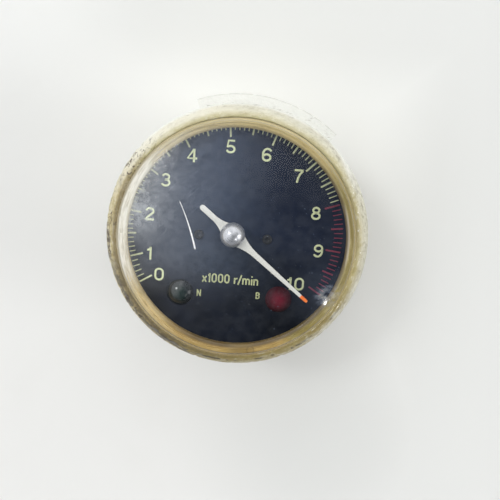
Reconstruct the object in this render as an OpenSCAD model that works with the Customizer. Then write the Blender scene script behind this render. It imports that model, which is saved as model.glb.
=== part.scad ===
// Engine speed gauge for a motorcycle: the inner head of a two-dial cluster, out of its outer bucket.
// Millimetres. The gauge faces +Z with twelve o'clock at +Y.
// Origin: on the axis of the pointer and the cable neck, in the plane of the case's back face.

/* [Case] */
// How far the case's centre lies to the right of the pointer's axis
case_off_x = 1.3; // [-2:0.1:2]
// How far the case's centre lies above the pointer's axis
case_off_y = -1.5; // [-2:0.1:2]
// Thickness of the cup's side wall under the rim
case_wall = 2.8; // [2.2:0.1:4]
// Thickness of the cup's back wall
back_wall = 2.6; // [2:0.1:4]
// How much smaller the cup's radius is at the back than at the rim
case_draft = 1.0; // [0.4:0.1:2]
// Outer corner radius round the back of the cup
back_round = 3; // [1:0.5:4]
// Radial gap between the dial plate and the cup
dial_gap = 0.3; // [0.2:0.05:0.6]

/* [Rim] */
// How far the rim stands out past the lens pocket
rim_reach = 5.0; // [4.6:0.1:6.5]
// Depth of the rim's widest line below the dial's face
rim_line = 2; // [0:0.1:3]
// How far the rim's skirt hangs below its widest line
rim_hang = 3.5; // [2.6:0.1:5]
// Thickness of the rim's skirt
rim_wall = 1.8; // [1.2:0.1:2]
// Depth of the groove under the rim
groove_depth = 2.4; // [1:0.1:2.8]
// How far the locating tab reaches past the rim
tab_reach = 3.2; // [1:0.1:5]
// Thickness of the locating tab
tab_t = 2; // [1:0.1:3]
// Direction of the tab's middle, in degrees from +X
tab_middle = 80; // [0:5:355]
// Arc that the tab covers, in degrees
tab_span = 60; // [20:1:90]

/* [Lens] */
// How far the lens reaches past the reflector ring
lens_step = 0.6; // [0.5:0.1:1]
// Height of the lens's edge
lens_edge = 2.6; // [2:0.1:4]
// Thickness of the lens's dome
lens_wall = 2.2; // [1.5:0.1:2.6]
// Rise of the dome above the lens's edge
lens_rise = 4.5; // [4:0.1:6]
// Width of the flat band round the dome
lens_land = 2.6; // [2:0.1:4]
// Radial gap between the lens and its pocket
lens_gap = 0.2; // [0.1:0.05:0.4]
// Depth of the pocket that the lens sits in
pocket_depth = 1; // [0.8:0.1:2]
// Thickness of the seal under the lens
seal_t = 0.6; // [0.4:0.1:1]
// Width of the seal
seal_w = 1.1; // [0.8:0.1:1.4]

/* [Reflector ring] */
// Radius of the opening that shows the dial
window_r = 35.3; // [34:0.1:38]
// How far the ring's top band reaches in past its wall
ring_lip = 1.0; // [0.9:0.05:1.3]
// Height of the ring above the dial
ring_h = 5; // [4.6:0.1:7]
// Thickness of the ring's upright wall
ring_wall = 1.2; // [0.8:0.1:1.4]
// Thickness of the ring's top band
ring_top_t = 1.6; // [1:0.1:2.4]
// Radial gap round the ring
ring_gap = 0.2; // [0.1:0.05:0.4]

/* [Dial] */
// How far the dial plate reaches under the reflector ring
dial_under = 0.6; // [0.4:0.05:0.9]
// Thickness of the dial plate
dial_t = 1; // [0.6:0.1:1.6]
// Radius of the hole in the dial's middle
dial_hole_r = 2.8; // [2.4:0.1:4]

/* [Scale] */
// Number of numbered steps on the scale
scale_steps = 10; // [8:1:10]
// Angle of each numbered step from 1 on, in degrees
step_angle = 25.4; // [20:0.1:26]
// Angle from 0 to 1, in degrees
first_angle = 14.9; // [10:0.1:26]
// Number on the scale where the red marks start
red_from = 8; // [5:1:9]
// How far the marks run on past the opening, under the ring
mark_under = 0.7; // [0.4:0.05:0.9]
// Length of the long marks
long_mark_len = 5; // [4:0.1:6]
// Length of the half-step marks
half_mark_len = 3.8; // [3:0.1:4.6]
// Length of the short marks
short_mark_len = 2.8; // [2:0.1:3.6]
// Width of the long and half-step marks
long_mark_w = 0.55; // [0.3:0.05:0.7]
// Width of the short marks
short_mark_w = 0.32; // [0.2:0.02:0.4]
// Thickness of the luminous paint
paint_t = 0.1; // [0.05:0.01:0.2]

/* [Warning lamps] */
// Radius of each coloured jewel
jewel_r = 4.4; // [3.5:0.1:5]
// Height of the jewel's dome above the dial
jewel_rise = 2.3; // [1:0.1:3]
// Thickness of the jewel's hidden flange
jewel_flange_t = 0.8; // [0.5:0.1:1.4]
// Gap between the warning lamps' tubes and the movement frame
warning_gap = 1.4; // [1.2:0.1:2.7]
// Gap between the dial lamps' tubes and the movement frame
dial_lamp_gap = 1.3; // [0.7:0.1:1.7]
// Angle of the warning lamps from six o'clock
warning_angle = 37.8; // [30:0.1:42]
// Angle of the dial lamps from twelve o'clock
dial_lamp_angle = 47; // [35:1:60]

/* [Bulb holders] */
// Radius of a bulb
bulb_r = 3.4; // [3:0.1:3.6]
// Length of a bulb
bulb_len = 16; // [12:0.5:20]
// Wall of the brass socket round a bulb
socket_wall = 0.4; // [0.3:0.05:0.5]
// Length of the brass socket
socket_len = 12; // [8:0.5:14]
// Wall of the rubber boot round a socket
boot_wall = 0.95; // [0.7:0.05:1.1]
// How far a boot stands out of the back
boot_out = 8; // [6:0.5:9]
// Wall of the moulded tube round a lamp
tube_wall = 1.3; // [1:0.1:1.5]
// Height of the short tubes that hold the dial lamps
short_tube_h = 8; // [5:0.5:12]

/* [Pointer] */
// Direction of the pointer as found, in degrees from +X
pointer_angle = -38.4; // [-39:0.1:200]
// Gap between the pointer's tip and the opening, where they come closest
tip_gap = 0.42; // [0.4:0.01:2]
// Reach of the pointer's tail
tail_reach = 13.8; // [10:0.1:16]
// Thickness of the pointer
pointer_t = 0.6; // [0.4:0.1:1]
// Height of the pointer above the dial
pointer_lift = 4.2; // [3.4:0.1:4.4]
// Width of the pointer's tip
tip_w = 0.96; // [0.8:0.02:1.4]
// Width of the tail
tail_w = 1.8; // [1:0.02:2]
// Radius of the bright cap over the pointer
cap_r = 4; // [3.4:0.1:5]
// Height of the cap above the pointer
cap_h = 4.6; // [4:0.1:4.8]

/* [Movement] */
// Thickness of the frame's base
base_t = 4; // [3:0.1:5]
// Radius of each frame post
post_r = 2.2; // [2:0.1:2.6]
// Gap between the frame posts and the field ring
post_gap = 0.4; // [0.3:0.05:0.8]
// How far the frame's base reaches past its posts
frame_edge = 0.1; // [0.05:0.05:0.6]
// Gap between the hairspring's collet and the bridge plate
bridge_gap = 1.0; // [0.8:0.1:3]
// Thickness of the bridge plate
bridge_t = 1.6; // [1.2:0.1:2.4]
// Height of the two pillars that carry the dial
pillar_h = 13.2; // [10:0.1:16]
// Half the distance between the dial screws
dial_screw_x = 11.3; // [10:0.1:13]
// How far the dial screws lie below the axis
dial_screw_drop = 1.35; // [0:0.05:3]
// Radius of the magnet
magnet_r = 10.5; // [9:0.1:11.2]
// Height of the magnet
magnet_h = 5; // [4:0.1:6]
// Air gap between the magnet and the drag cup
magnet_gap = 1.3; // [0.6:0.1:1.5]
// Wall of the drag cup
drag_wall = 0.5; // [0.3:0.05:0.7]
// Height of the drag cup
drag_h = 7; // [5:0.1:7.4]
// Air gap between the drag cup and the steel field ring
field_gap = 0.7; // [0.4:0.1:1]
// Wall of the field ring
field_wall = 1.6; // [1:0.1:1.7]
// Turns of the hairspring
spring_turns = 4.5; // [3:0.5:5.5]
// Radius of the pointer's arbor
arbor_r = 0.75; // [0.6:0.05:1]

/* [Cable drive] */
// Outer radius of the threaded cable neck
neck_r = 6; // [5.8:0.1:6.5]
// Length of the neck outside the case
neck_len = 11; // [10:0.5:14]
// Radius of the recess for the cable's ferrule
ferrule_r = 4.25; // [4.1:0.05:4.5]
// Depth of the ferrule's recess
ferrule_depth = 6.4; // [5:0.1:7]
// Radius of the drive shaft
shaft_r = 2.5; // [2.3:0.1:2.7]
// Width of the shaft's square socket
square_w = 2.6; // [2.2:0.1:2.7]
// Depth of the square socket
square_depth = 8; // [6:0.5:9]
// Running clearance of shafts in their bushes, on the radius
run_gap = 0.05; // [0.03:0.01:0.08]

/* [Mounting studs] */
// Radius of the two studs that hold the gauge to its bracket
stud_thread_r = 2.5; // [2:0.1:3]
// Length of the studs outside the case
stud_out = 14; // [11:0.5:20]
// Gap between the studs' pads and the movement frame
stud_gap = 1.8; // [0.8:0.1:2.4]
// Radius of the moulded pad round each stud
stud_pad_r = 5.2; // [4.8:0.1:5.6]

/* [Hidden] */
$fn = 96;
eps = 0.01;
seat_gap = 0.05;

// Heights, from the back of the case to the lens
gasket_t = 0.6;
base_z = back_wall + gasket_t;
base_top = base_z + base_t;
washer_t = 0.4;
washer_gap = 0.1;
hub_z = base_top + washer_t + washer_gap;
hub_flange_t = 1;
magnet_z = hub_z + hub_flange_t;
magnet_top = magnet_z + magnet_h;
shaft_over = 0.3;
shaft_top = magnet_top + shaft_over;
cup_over = 2;
drag_top = shaft_top + cup_over;
drag_z = drag_top - drag_h;
cup_hub_h = 1.2;
collet_over = 0.7;
collet_z = drag_top + cup_hub_h + collet_over;
collet_h = 1.3;
bridge_z = collet_z + collet_h + bridge_gap;
bridge_top = bridge_z + bridge_t;
dial_z = bridge_top + pillar_h + dial_t;
ring_top = dial_z + ring_h;
seal_top = ring_top + seal_t;
lens_top = seal_top + lens_edge;
case_top = seal_top + pocket_depth;
rim_z = dial_z - rim_line;
rim_bottom = rim_z - rim_hang;

// Radii, from the opening outwards
ring_in_r = window_r + ring_lip;
ring_r = ring_in_r + ring_wall;
ring_bore_r = ring_r + ring_gap;
dial_r = ring_in_r + dial_under;
bore_r = dial_r + dial_gap;
case_r = bore_r + case_wall;
back_r = case_r - case_draft;
lens_r = ring_r + lens_step;
seal_gap = 0.1;
seal_r = lens_r - seal_gap;
pocket_r = lens_r + lens_gap;
rim_r = pocket_r + rim_reach;
lip_w = 0.5;

// Lens dome
dome_r = lens_r - lens_land;
dome_ball = (dome_r * dome_r + lens_rise * lens_rise) / (2 * lens_rise);
under_land = 1.2;
under_r = dome_r - under_land;
lens_round = 0.9;

// Radii of the movement, from the magnet outwards
drag_cup_r = magnet_r + magnet_gap + drag_wall;
field_r = drag_cup_r + field_gap;
post_ring_r = field_r + field_wall + post_gap + post_r;
frame_r = post_ring_r + post_r + frame_edge;
bridge_r = post_ring_r + post_r;
stud_x = frame_r + stud_gap + stud_pad_r;

// Lamps: where each stands and how wide its tube is
socket_gap = 0.1;
socket_r = bulb_r + socket_gap + socket_wall;
boot_r = socket_r + boot_wall;
lamp_bore_r = boot_r + seat_gap;
tube_r = lamp_bore_r + tube_wall;
tube_top = dial_z - dial_t - jewel_flange_t;
jewel_gap = 0.1;
jewel_flange_w = 1.2;
jewel_wall = 1.4;
jewel_flange_r = jewel_r + jewel_flange_w;
warning_ring_r = frame_r + warning_gap + tube_r;
dial_lamp_ring_r = frame_r + dial_lamp_gap + tube_r;
function polar(radius, angle) = [radius * cos(angle), radius * sin(angle)];
neutral_at = polar(warning_ring_r, 270 - warning_angle);
beam_at = polar(warning_ring_r, 270 + warning_angle);
left_at = polar(dial_lamp_ring_r, 90 + dial_lamp_angle);
right_at = polar(dial_lamp_ring_r, 90 - dial_lamp_angle);

// Scale: where the marks lie, and the angle of a number, with the scale's two ends level
mark_end_r = window_r + mark_under;
mark_cut_gap = 0.2;
scale_sweep = first_angle + (scale_steps - 1) * step_angle;
zero_at = 90 + scale_sweep / 2;
function mark_at(value) =
    value < 1 ? zero_at - value * first_angle
              : zero_at - first_angle - (value - 1) * step_angle;

// Pointer
cap_wall = 0.6;
cap_skirt = 0.8;
pointer_z = dial_z + pointer_lift;
pointer_top = pointer_z + pointer_t;
pointer_reach = window_r - norm([case_off_x, case_off_y]) - tip_gap;
boss_r = 2;
boss_h = 1.6;
collar_r = 1.4;
collar_h = 1.2;
fit_gap = 0.02;
flare_x = 10;
flare_bend = 18.5;
blade_w = 1.96;
tail_flare_x = 8;
tail_bend = 10;
over_scale = 3.5;
stop_high = mark_at(scale_steps) - 6 - over_scale;
stop_low = zero_at;

// Drive shaft, magnet and drag cup
frame_boss_r = 8;
frame_hole_gap = 0.2;
shank_r = neck_r - 1;
bush_r = 3.4;
clip_room_r = ferrule_r - 0.3;
clip_room_h = 1.6;
bush_z = ferrule_depth + clip_room_h - neck_len;
shaft_end = bush_z - 1.4;
clip_z = bush_z - 0.75;
clip_t = 0.4;
clip_r = clip_room_r - 0.4;
clip_neck_r = shaft_r - 0.3;
magnet_hub_r = shaft_r + 0.9;
hub_flange_w = 1.6;
pivot_wall = 0.6;
pivot_bush_r = arbor_r + run_gap + pivot_wall;
pivot_depth = 2.3;
pivot_floor = 0.05;
arbor_z = shaft_top - pivot_depth + 2 * pivot_floor;
field_top = drag_top;
cup_hub_r = 2.4;
hub_spigot_r = 1.3;

// Bridge, hairspring and stops
post_angles = [90, 210, 330];
case_screw_angles = [30, 150, 270];
case_screw_r = 1.8;
case_screw_hole_r = 2.2;
case_screw_in = 0.7;
screw_ring_r = post_ring_r - case_screw_in;
bridge_head_r = 2.1;
bridge_head_h = 1.4;
bridge_shank_r = 1;
bridge_screw_len = 4;
bridge_cross = 1.9;
collet_r = 1.9;
spring_t = 0.22;
spring_h = 0.6;
spring_in_r = collet_r + spring_t / 2 + 0.03;
spring_out_r = 7.4;
spring_z = collet_z + 0.35;
stud_r = 0.7;
arm_z = bridge_top + 2.2;
arm_t = 0.8;
arm_w = 1.4;
arm_reach = 6.6;
pin_ring_r = 5.8;
pin_r = 0.8;
stop_spread = asin((pin_r + arm_w / 2 + 0.05) / pin_ring_r);
pillar_r = 2.2;
pillar_spigot_r = 1.2;
dial_screw_r = 1.6;
dial_head_h = 1.1;
dial_thread_r = 0.8;
dial_screw_len = 4.5;
dial_cross = 1.6;
stud_boss_h = 7;
stud_root_w = 0.4;
stud_collar_w = 1.1;
stud_collar_t = 3;
arbor_bush_r = 2;

// Shared shapes

module on_case() {
    translate([case_off_x, case_off_y, 0]) children();
}

module tube(outer, inner, h) {
    difference() {
        cylinder(r = outer, h = h);
        translate([0, 0, -eps]) cylinder(r = inner, h = h + 2 * eps);
    }
}

module at_angles(angles, radius) {
    for (a = angles) rotate([0, 0, a]) translate([radius, 0, 0]) children();
}

module at_lamps() {
    for (p = [neutral_at, beam_at, left_at, right_at]) translate([p[0], p[1], 0]) children();
}

function arc_points(centre, radius, from, to, steps) =
    [for (i = [0 : steps]) let (a = from + (to - from) * i / steps)
        [centre[0] + radius * cos(a), centre[1] + radius * sin(a)]];

// Screw with its head's seat at z = 0, shank down, and a cross recess in the head
module screw(head_r, head_h, shank, length, cross) {
    difference() {
        union() {
            cylinder(r = head_r, h = head_h * 0.6);
            translate([0, 0, head_h * 0.6])
                cylinder(r1 = head_r, r2 = head_r * 0.72, h = head_h * 0.4);
            translate([0, 0, -length]) cylinder(r = shank, h = length + eps);
        }
        for (a = [0, 90]) rotate([0, 0, a])
            translate([-cross / 2, -cross / 8, head_h * 0.45]) cube([cross, cross / 4, head_h]);
    }
}

// Case

shoulder_steps = 10;
shoulder_in = pocket_r + lip_w;
shoulder = [for (i = [0 : shoulder_steps]) let (a = 90 * i / shoulder_steps)
    [shoulder_in + (rim_r - shoulder_in) * cos(a), rim_z + (case_top - rim_z) * sin(a)]];
inner_round = 2;
floor_r = back_r - case_wall;
cup_section = concat(
    [[0, 0]],
    arc_points([back_r - back_round, back_round], back_round, -90, 0, 8),
    [[case_r, rim_bottom + groove_depth],
     [rim_r - rim_wall, rim_bottom + groove_depth],
     [rim_r - rim_wall, rim_bottom],
     [rim_r, rim_bottom]],
    shoulder,
    [[pocket_r, case_top],
     [pocket_r, ring_top],
     [ring_bore_r, ring_top],
     [ring_bore_r, dial_z],
     [bore_r, dial_z],
     [floor_r, back_wall + inner_round]],
    [for (i = [1 : 4]) let (a = 90 * i / 4)
        [floor_r - inner_round + inner_round * cos(a), back_wall + inner_round - inner_round * sin(a)]],
    [[0, back_wall]]
);

module locating_tab() {
    rotate([0, 0, tab_middle - tab_span / 2])
        rotate_extrude(angle = tab_span)
            translate([rim_r - rim_wall / 2, rim_z - tab_t - 0.3])
                square([rim_wall / 2 + tab_reach, tab_t]);
}

module lamp_tubes() {
    for (p = [neutral_at, beam_at]) translate([p[0], p[1], back_wall - 0.5])
        cylinder(r = tube_r, h = tube_top - back_wall + 0.5);
    for (p = [left_at, right_at]) translate([p[0], p[1], back_wall - 0.5])
        cylinder(r = tube_r, h = short_tube_h + 0.5);
}

// Moulded boss round each mounting stud, with a web out into the side wall
module stud_bosses() {
    for (side = [-1, 1]) {
        web_end = side * (floor_r + case_wall / 2) + case_off_x;
        translate([side * stud_x, 0, back_wall - 0.5]) cylinder(r = stud_pad_r, h = stud_boss_h + 0.5);
        translate([min(web_end, side * stud_x), -1, back_wall - 0.5])
            cube([abs(web_end - side * stud_x), 2, stud_boss_h - 1]);
    }
}

module case_cup() {
    color("#e6dcbc") difference() {
        union() {
            on_case() rotate_extrude() polygon(cup_section);
            on_case() locating_tab();
            lamp_tubes();
            stud_bosses();
        }
        at_lamps() translate([0, 0, -eps]) cylinder(r = lamp_bore_r, h = tube_top + 1);
        translate([0, 0, -eps]) cylinder(r = frame_boss_r + frame_hole_gap, h = back_wall + 2 * eps);
        at_angles(case_screw_angles, screw_ring_r)
            translate([0, 0, -eps]) cylinder(r = case_screw_hole_r, h = back_wall + 2 * eps);
        for (side = [-1, 1]) translate([side * stud_x, 0, 0]) stud_body(0.01);
    }
}

// Stud with a thicker root and a collar, both moulded into its boss
module stud_body(gap) {
    translate([0, 0, -stud_out - gap]) cylinder(r = stud_thread_r + gap, h = stud_out + 1);
    translate([0, 0, -gap])
        cylinder(r = stud_thread_r + stud_root_w + gap, h = back_wall + stud_boss_h - 1.5 + 2 * gap);
    translate([0, 0, back_wall + 1 - gap])
        cylinder(r = stud_thread_r + stud_collar_w + gap, h = stud_collar_t + 2 * gap);
}

module mounting_studs() {
    color("#8f8c82") for (side = [-1, 1]) translate([side * stud_x, 0, 0]) stud_body(0);
}

// Lens, seal and reflector ring

module ball_cap(ball, radius, top) {
    intersection() {
        translate([0, 0, top - ball]) sphere(r = ball, $fn = 180);
        translate([0, 0, top - ball]) cylinder(r = radius, h = ball + 1);
    }
}

module lens() {
    edge_section = concat(
        [[0, seal_top], [lens_r, seal_top]],
        arc_points([lens_r - lens_round, lens_top - lens_round], lens_round, 0, 90, 6),
        [[0, lens_top]]);
    color([0.86, 0.9, 0.9, 0.3]) on_case() difference() {
        union() {
            rotate_extrude() polygon(edge_section);
            intersection() {
                ball_cap(dome_ball, dome_r, lens_top + lens_rise);
                translate([0, 0, lens_top - 1]) cylinder(r = dome_r, h = lens_rise + 2);
            }
        }
        intersection() {
            ball_cap(dome_ball - lens_wall, under_r, lens_top + lens_rise - lens_wall);
            translate([0, 0, seal_top - 1]) cylinder(r = under_r, h = lens_edge + lens_rise + 2);
        }
    }
}

module lens_seal() {
    color("#4a3b28") on_case() translate([0, 0, ring_top]) tube(seal_r, seal_r - seal_w, seal_t);
}

module reflector_ring() {
    bevel = 0.7;
    color("#c9a96a") on_case() translate([0, 0, dial_z]) rotate_extrude() polygon([
        [ring_in_r, 0],
        [ring_r, 0],
        [ring_r, ring_h],
        [window_r + bevel, ring_h],
        [window_r, ring_h - bevel],
        [window_r, ring_h - ring_top_t],
        [ring_in_r, ring_h - ring_top_t]]);
}

// Dial

module dial_plate() {
    color("#1c2029") translate([0, 0, dial_z - dial_t]) difference() {
        on_case() cylinder(r = dial_r, h = dial_t);
        translate([0, 0, -eps]) cylinder(r = dial_hole_r, h = dial_t + 2 * eps);
        for (p = [neutral_at, beam_at]) translate([p[0], p[1], -eps])
            cylinder(r = jewel_r + jewel_gap, h = dial_t + 2 * eps);
        for (side = [-1, 1]) translate([side * dial_screw_x, -dial_screw_drop, -eps])
            cylinder(r = dial_thread_r + 0.1, h = dial_t + 2 * eps);
    }
}

module mark(value, length, width) {
    rotate([0, 0, mark_at(value)]) translate([mark_end_r - length, -width / 2, dial_z])
        cube([length, width, paint_t]);
}

// Marks of a tenth of a step each; a fifth of a step below 1
module marks(from, to) {
    for (i = [round(from * 10) : round(to * 10)])
        if (i % 10 == 0) mark(i / 10, long_mark_len, long_mark_w);
        else if (i > 10 && i % 5 == 0) mark(i / 10, half_mark_len, long_mark_w);
        else if (i > 10 || i % 2 == 0) mark(i / 10, short_mark_len, short_mark_w);
}

// The marks end just inside the reflector ring's wall
module marks_in_ring(from, to) {
    intersection() {
        marks(from, to);
        on_case() translate([0, 0, dial_z - 1]) cylinder(r = ring_in_r - mark_cut_gap, h = 2);
    }
}

module scale_marks() {
    color("#d6dcae") marks_in_ring(0, red_from - 0.1);
}

module redline_marks() {
    color("#7e1d2b") marks_in_ring(red_from, scale_steps);
}

module dial_screws() {
    color("#15161a") for (side = [-1, 1])
        translate([side * dial_screw_x, -dial_screw_drop, dial_z])
            screw(dial_screw_r, dial_head_h, dial_thread_r, dial_screw_len, dial_cross);
}

module dial_pillars() {
    color("#b9a05a") for (side = [-1, 1])
        translate([side * dial_screw_x, -dial_screw_drop, bridge_top]) difference() {
            union() {
                cylinder(r = pillar_r, h = pillar_h);
                translate([0, 0, -bridge_t]) cylinder(r = pillar_spigot_r, h = bridge_t + eps);
            }
            translate([0, 0, pillar_h - dial_screw_len - 0.5])
                cylinder(r = dial_thread_r + 0.05, h = dial_screw_len + 0.5 + eps);
        }
}

module jewel() {
    body_h = dial_t + jewel_flange_t;
    ball = (jewel_r * jewel_r + jewel_rise * jewel_rise) / (2 * jewel_rise);
    difference() {
        union() {
            translate([0, 0, tube_top]) cylinder(r = jewel_flange_r, h = jewel_flange_t);
            translate([0, 0, tube_top]) cylinder(r = jewel_r, h = body_h);
            intersection() {
                translate([0, 0, dial_z + jewel_rise - ball]) sphere(r = ball);
                translate([0, 0, dial_z - 0.2]) cylinder(r = jewel_r, h = jewel_rise + 1);
            }
        }
        translate([0, 0, tube_top - eps]) cylinder(r = jewel_r - jewel_wall, h = body_h);
    }
}

module neutral_jewel() {
    color([0.03, 0.2, 0.13, 0.8]) translate([neutral_at[0], neutral_at[1], 0]) jewel();
}

module beam_jewel() {
    color([0.45, 0.04, 0.08, 0.8]) translate([beam_at[0], beam_at[1], 0]) jewel();
}

// Bulb holders

module boot() {
    plug_h = back_wall + 1.4;
    difference() {
        union() {
            cylinder(r = boot_r, h = plug_h);
            translate([0, 0, -1.8]) cylinder(r = boot_r + 1.8, h = 1.8);
            translate([0, 0, -boot_out])
                cylinder(r1 = boot_r - 0.9, r2 = boot_r + 0.5, h = boot_out - 1.8 + eps);
        }
        translate([0, 0, 2 - boot_out]) cylinder(r = socket_r + seat_gap, h = boot_out + plug_h);
        for (x = [-1.6, 1.6]) translate([x, 0, -boot_out - eps]) cylinder(r = 0.8, h = 3);
    }
}

module socket() {
    translate([0, 0, 2 - boot_out]) difference() {
        cylinder(r = socket_r, h = socket_len);
        translate([0, 0, 0.8]) cylinder(r = socket_r - socket_wall, h = socket_len);
    }
}

module bulb() {
    translate([0, 0, 2.8 - boot_out]) {
        cylinder(r = bulb_r, h = bulb_len - bulb_r);
        translate([0, 0, bulb_len - bulb_r]) sphere(r = bulb_r);
    }
}

module at_lamp(p) {
    translate([p[0], p[1], 0]) children();
}

module neutral_boot() { color("#242424") at_lamp(neutral_at) boot(); }
module beam_boot() { color("#242424") at_lamp(beam_at) boot(); }
module left_lamp_boot() { color("#242424") at_lamp(left_at) boot(); }
module right_lamp_boot() { color("#242424") at_lamp(right_at) boot(); }
module neutral_socket() { color("#b48a3c") at_lamp(neutral_at) socket(); }
module beam_socket() { color("#b48a3c") at_lamp(beam_at) socket(); }
module left_lamp_socket() { color("#b48a3c") at_lamp(left_at) socket(); }
module right_lamp_socket() { color("#b48a3c") at_lamp(right_at) socket(); }
module neutral_bulb() { color([0.9, 0.9, 0.85, 0.5]) at_lamp(neutral_at) bulb(); }
module beam_bulb() { color([0.9, 0.9, 0.85, 0.5]) at_lamp(beam_at) bulb(); }
module left_lamp_bulb() { color([0.9, 0.9, 0.85, 0.5]) at_lamp(left_at) bulb(); }
module right_lamp_bulb() { color([0.9, 0.9, 0.85, 0.5]) at_lamp(right_at) bulb(); }

// Movement frame and what is fixed to it

module movement_frame() {
    color("#9a9c9e") difference() {
        union() {
            translate([0, 0, base_z]) cylinder(r = frame_r, h = base_t);
            cylinder(r = frame_boss_r, h = base_z + eps);
            at_angles(post_angles, post_ring_r)
                translate([0, 0, base_top - eps]) cylinder(r = post_r, h = bridge_z - base_top + eps);
        }
        translate([0, 0, -eps]) cylinder(r = shank_r + 0.02, h = base_top + 2 * eps);
        at_angles(post_angles, post_ring_r)
            translate([0, 0, bridge_z - bridge_screw_len - 1])
                cylinder(r = bridge_shank_r + 0.05, h = bridge_screw_len + 1 + eps);
        at_angles(case_screw_angles, screw_ring_r)
            translate([0, 0, base_z - eps]) cylinder(r = case_screw_r + 0.05, h = base_t - 0.8);
    }
}

module frame_gasket() {
    color("#3a3530") translate([0, 0, back_wall]) difference() {
        tube(frame_r - 0.5, frame_boss_r + 0.3, gasket_t);
        at_angles(case_screw_angles, screw_ring_r)
            translate([0, 0, -eps]) cylinder(r = case_screw_hole_r, h = gasket_t + 2 * eps);
    }
}

module frame_screws() {
    color("#8d8a80") at_angles(case_screw_angles, screw_ring_r)
        mirror([0, 0, 1]) screw(3.4, 2.2, case_screw_r, base_z + base_t - 1.4, 3.2);
}

module cable_neck() {
    color("#a8a294") difference() {
        union() {
            translate([0, 0, -neck_len]) cylinder(r = neck_r, h = neck_len);
            translate([0, 0, -eps]) cylinder(r = shank_r, h = base_top + eps);
        }
        translate([0, 0, -neck_len - eps]) cylinder(r = ferrule_r, h = ferrule_depth + eps);
        translate([0, 0, -neck_len]) cylinder(r = clip_room_r, h = ferrule_depth + clip_room_h);
        translate([0, 0, -neck_len]) cylinder(r = bush_r + 0.02, h = neck_len + base_top + 1);
    }
}

module neck_bush() {
    color("#a9743c") translate([0, 0, bush_z]) tube(bush_r, shaft_r + run_gap, base_top - bush_z);
}

module thrust_washer() {
    color("#c9c9c4") translate([0, 0, base_top]) tube(shank_r + 0.6, shaft_r + 0.1, washer_t);
}

module field_ring() {
    color("#77797c") translate([0, 0, base_top]) tube(field_r + field_wall, field_r, field_top - base_top);
}

module bridge_plate() {
    color("#c2b074") translate([0, 0, bridge_z]) difference() {
        union() {
            intersection() {
                cylinder(r = bridge_r, h = bridge_t);
                for (a = post_angles) rotate([0, 0, a])
                    translate([0, -post_r - 0.6, 0]) cube([bridge_r + 1, 2 * post_r + 1.2, bridge_t]);
            }
            cylinder(r = dial_screw_x + pillar_r + 0.8, h = bridge_t);
        }
        translate([0, 0, -eps]) cylinder(r = arbor_bush_r + 0.02, h = bridge_t + 2 * eps);
        at_angles(post_angles, post_ring_r)
            translate([0, 0, -eps]) cylinder(r = bridge_shank_r + 0.25, h = bridge_t + 2 * eps);
        for (side = [-1, 1]) translate([side * dial_screw_x, -dial_screw_drop, -eps])
            cylinder(r = pillar_spigot_r + fit_gap, h = bridge_t + 2 * eps);
    }
}

module bridge_screws() {
    color("#8d8a80") at_angles(post_angles, post_ring_r)
        translate([0, 0, bridge_top])
            screw(bridge_head_r, bridge_head_h, bridge_shank_r, bridge_t + bridge_screw_len, bridge_cross);
}

module arbor_bush() {
    color("#c19a45") translate([0, 0, bridge_z - 0.3]) tube(arbor_bush_r, arbor_r + run_gap, bridge_t + 0.6);
}

// Hairspring: a flat spiral from the collet to its stud, one turn after another
spring_steps = 18;
spring_count = round(spring_turns * spring_steps);
spring_end_at = pointer_angle + spring_count * 360 / spring_steps;
function spring_point(i, side) =
    let (a = pointer_angle + i * 360 / spring_steps,
         r = spring_in_r + (spring_out_r - spring_in_r) * i / spring_count + side * spring_t / 2)
    [r * cos(a), r * sin(a)];

module hairspring() {
    color("#b98a3e") translate([0, 0, spring_z]) linear_extrude(height = spring_h)
        polygon(concat(
            [for (i = [0 : spring_count]) spring_point(i, -1)],
            [for (i = [spring_count : -1 : 0]) spring_point(i, 1)]));
}

module spring_stud() {
    color("#c19a45") rotate([0, 0, spring_end_at])
        translate([spring_out_r + spring_t / 2 + stud_r + 0.02, 0, spring_z - 0.3])
            cylinder(r = stud_r, h = bridge_z - spring_z + 0.3);
}

module stop_pins() {
    color("#b7b7b7") at_angles([stop_low + stop_spread, stop_high - stop_spread], pin_ring_r)
        translate([0, 0, bridge_top]) cylinder(r = pin_r, h = arm_z + arm_t + 0.8 - bridge_top);
}

// Drive shaft and magnet, which the cable turns

module input_shaft() {
    color("#8b8f94") difference() {
        translate([0, 0, shaft_end]) cylinder(r = shaft_r, h = shaft_top - shaft_end);
        translate([-square_w / 2, -square_w / 2, shaft_end - eps]) cube([square_w, square_w, square_depth]);
        translate([0, 0, clip_z - 0.05]) tube(shaft_r + 1, clip_neck_r, clip_t + 0.1);
        translate([0, 0, shaft_top - pivot_depth]) cylinder(r = pivot_bush_r + 0.01, h = pivot_depth + eps);
    }
}

module shaft_clip() {
    color("#6b6e72") translate([0, 0, clip_z]) difference() {
        tube(clip_r, clip_neck_r + 0.03, clip_t);
        translate([0, -clip_neck_r * 0.8, -eps]) cube([clip_r + 1, clip_neck_r * 1.6, clip_t + 2 * eps]);
    }
}

module magnet_hub() {
    color("#c19a45") translate([0, 0, hub_z]) difference() {
        union() {
            cylinder(r = magnet_hub_r + hub_flange_w, h = hub_flange_t);
            cylinder(r = magnet_hub_r, h = hub_flange_t + magnet_h);
        }
        translate([0, 0, -eps]) cylinder(r = shaft_r + 0.01, h = hub_flange_t + magnet_h + 2 * eps);
    }
}

module magnet() {
    color("#4b4d50") translate([0, 0, magnet_z]) tube(magnet_r, magnet_hub_r + 0.01, magnet_h);
}

module pivot_bush() {
    color("#c19a45") translate([0, 0, shaft_top - pivot_depth]) difference() {
        cylinder(r = pivot_bush_r, h = pivot_depth);
        translate([0, 0, pivot_floor]) cylinder(r = arbor_r + run_gap, h = pivot_depth);
    }
}

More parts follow.
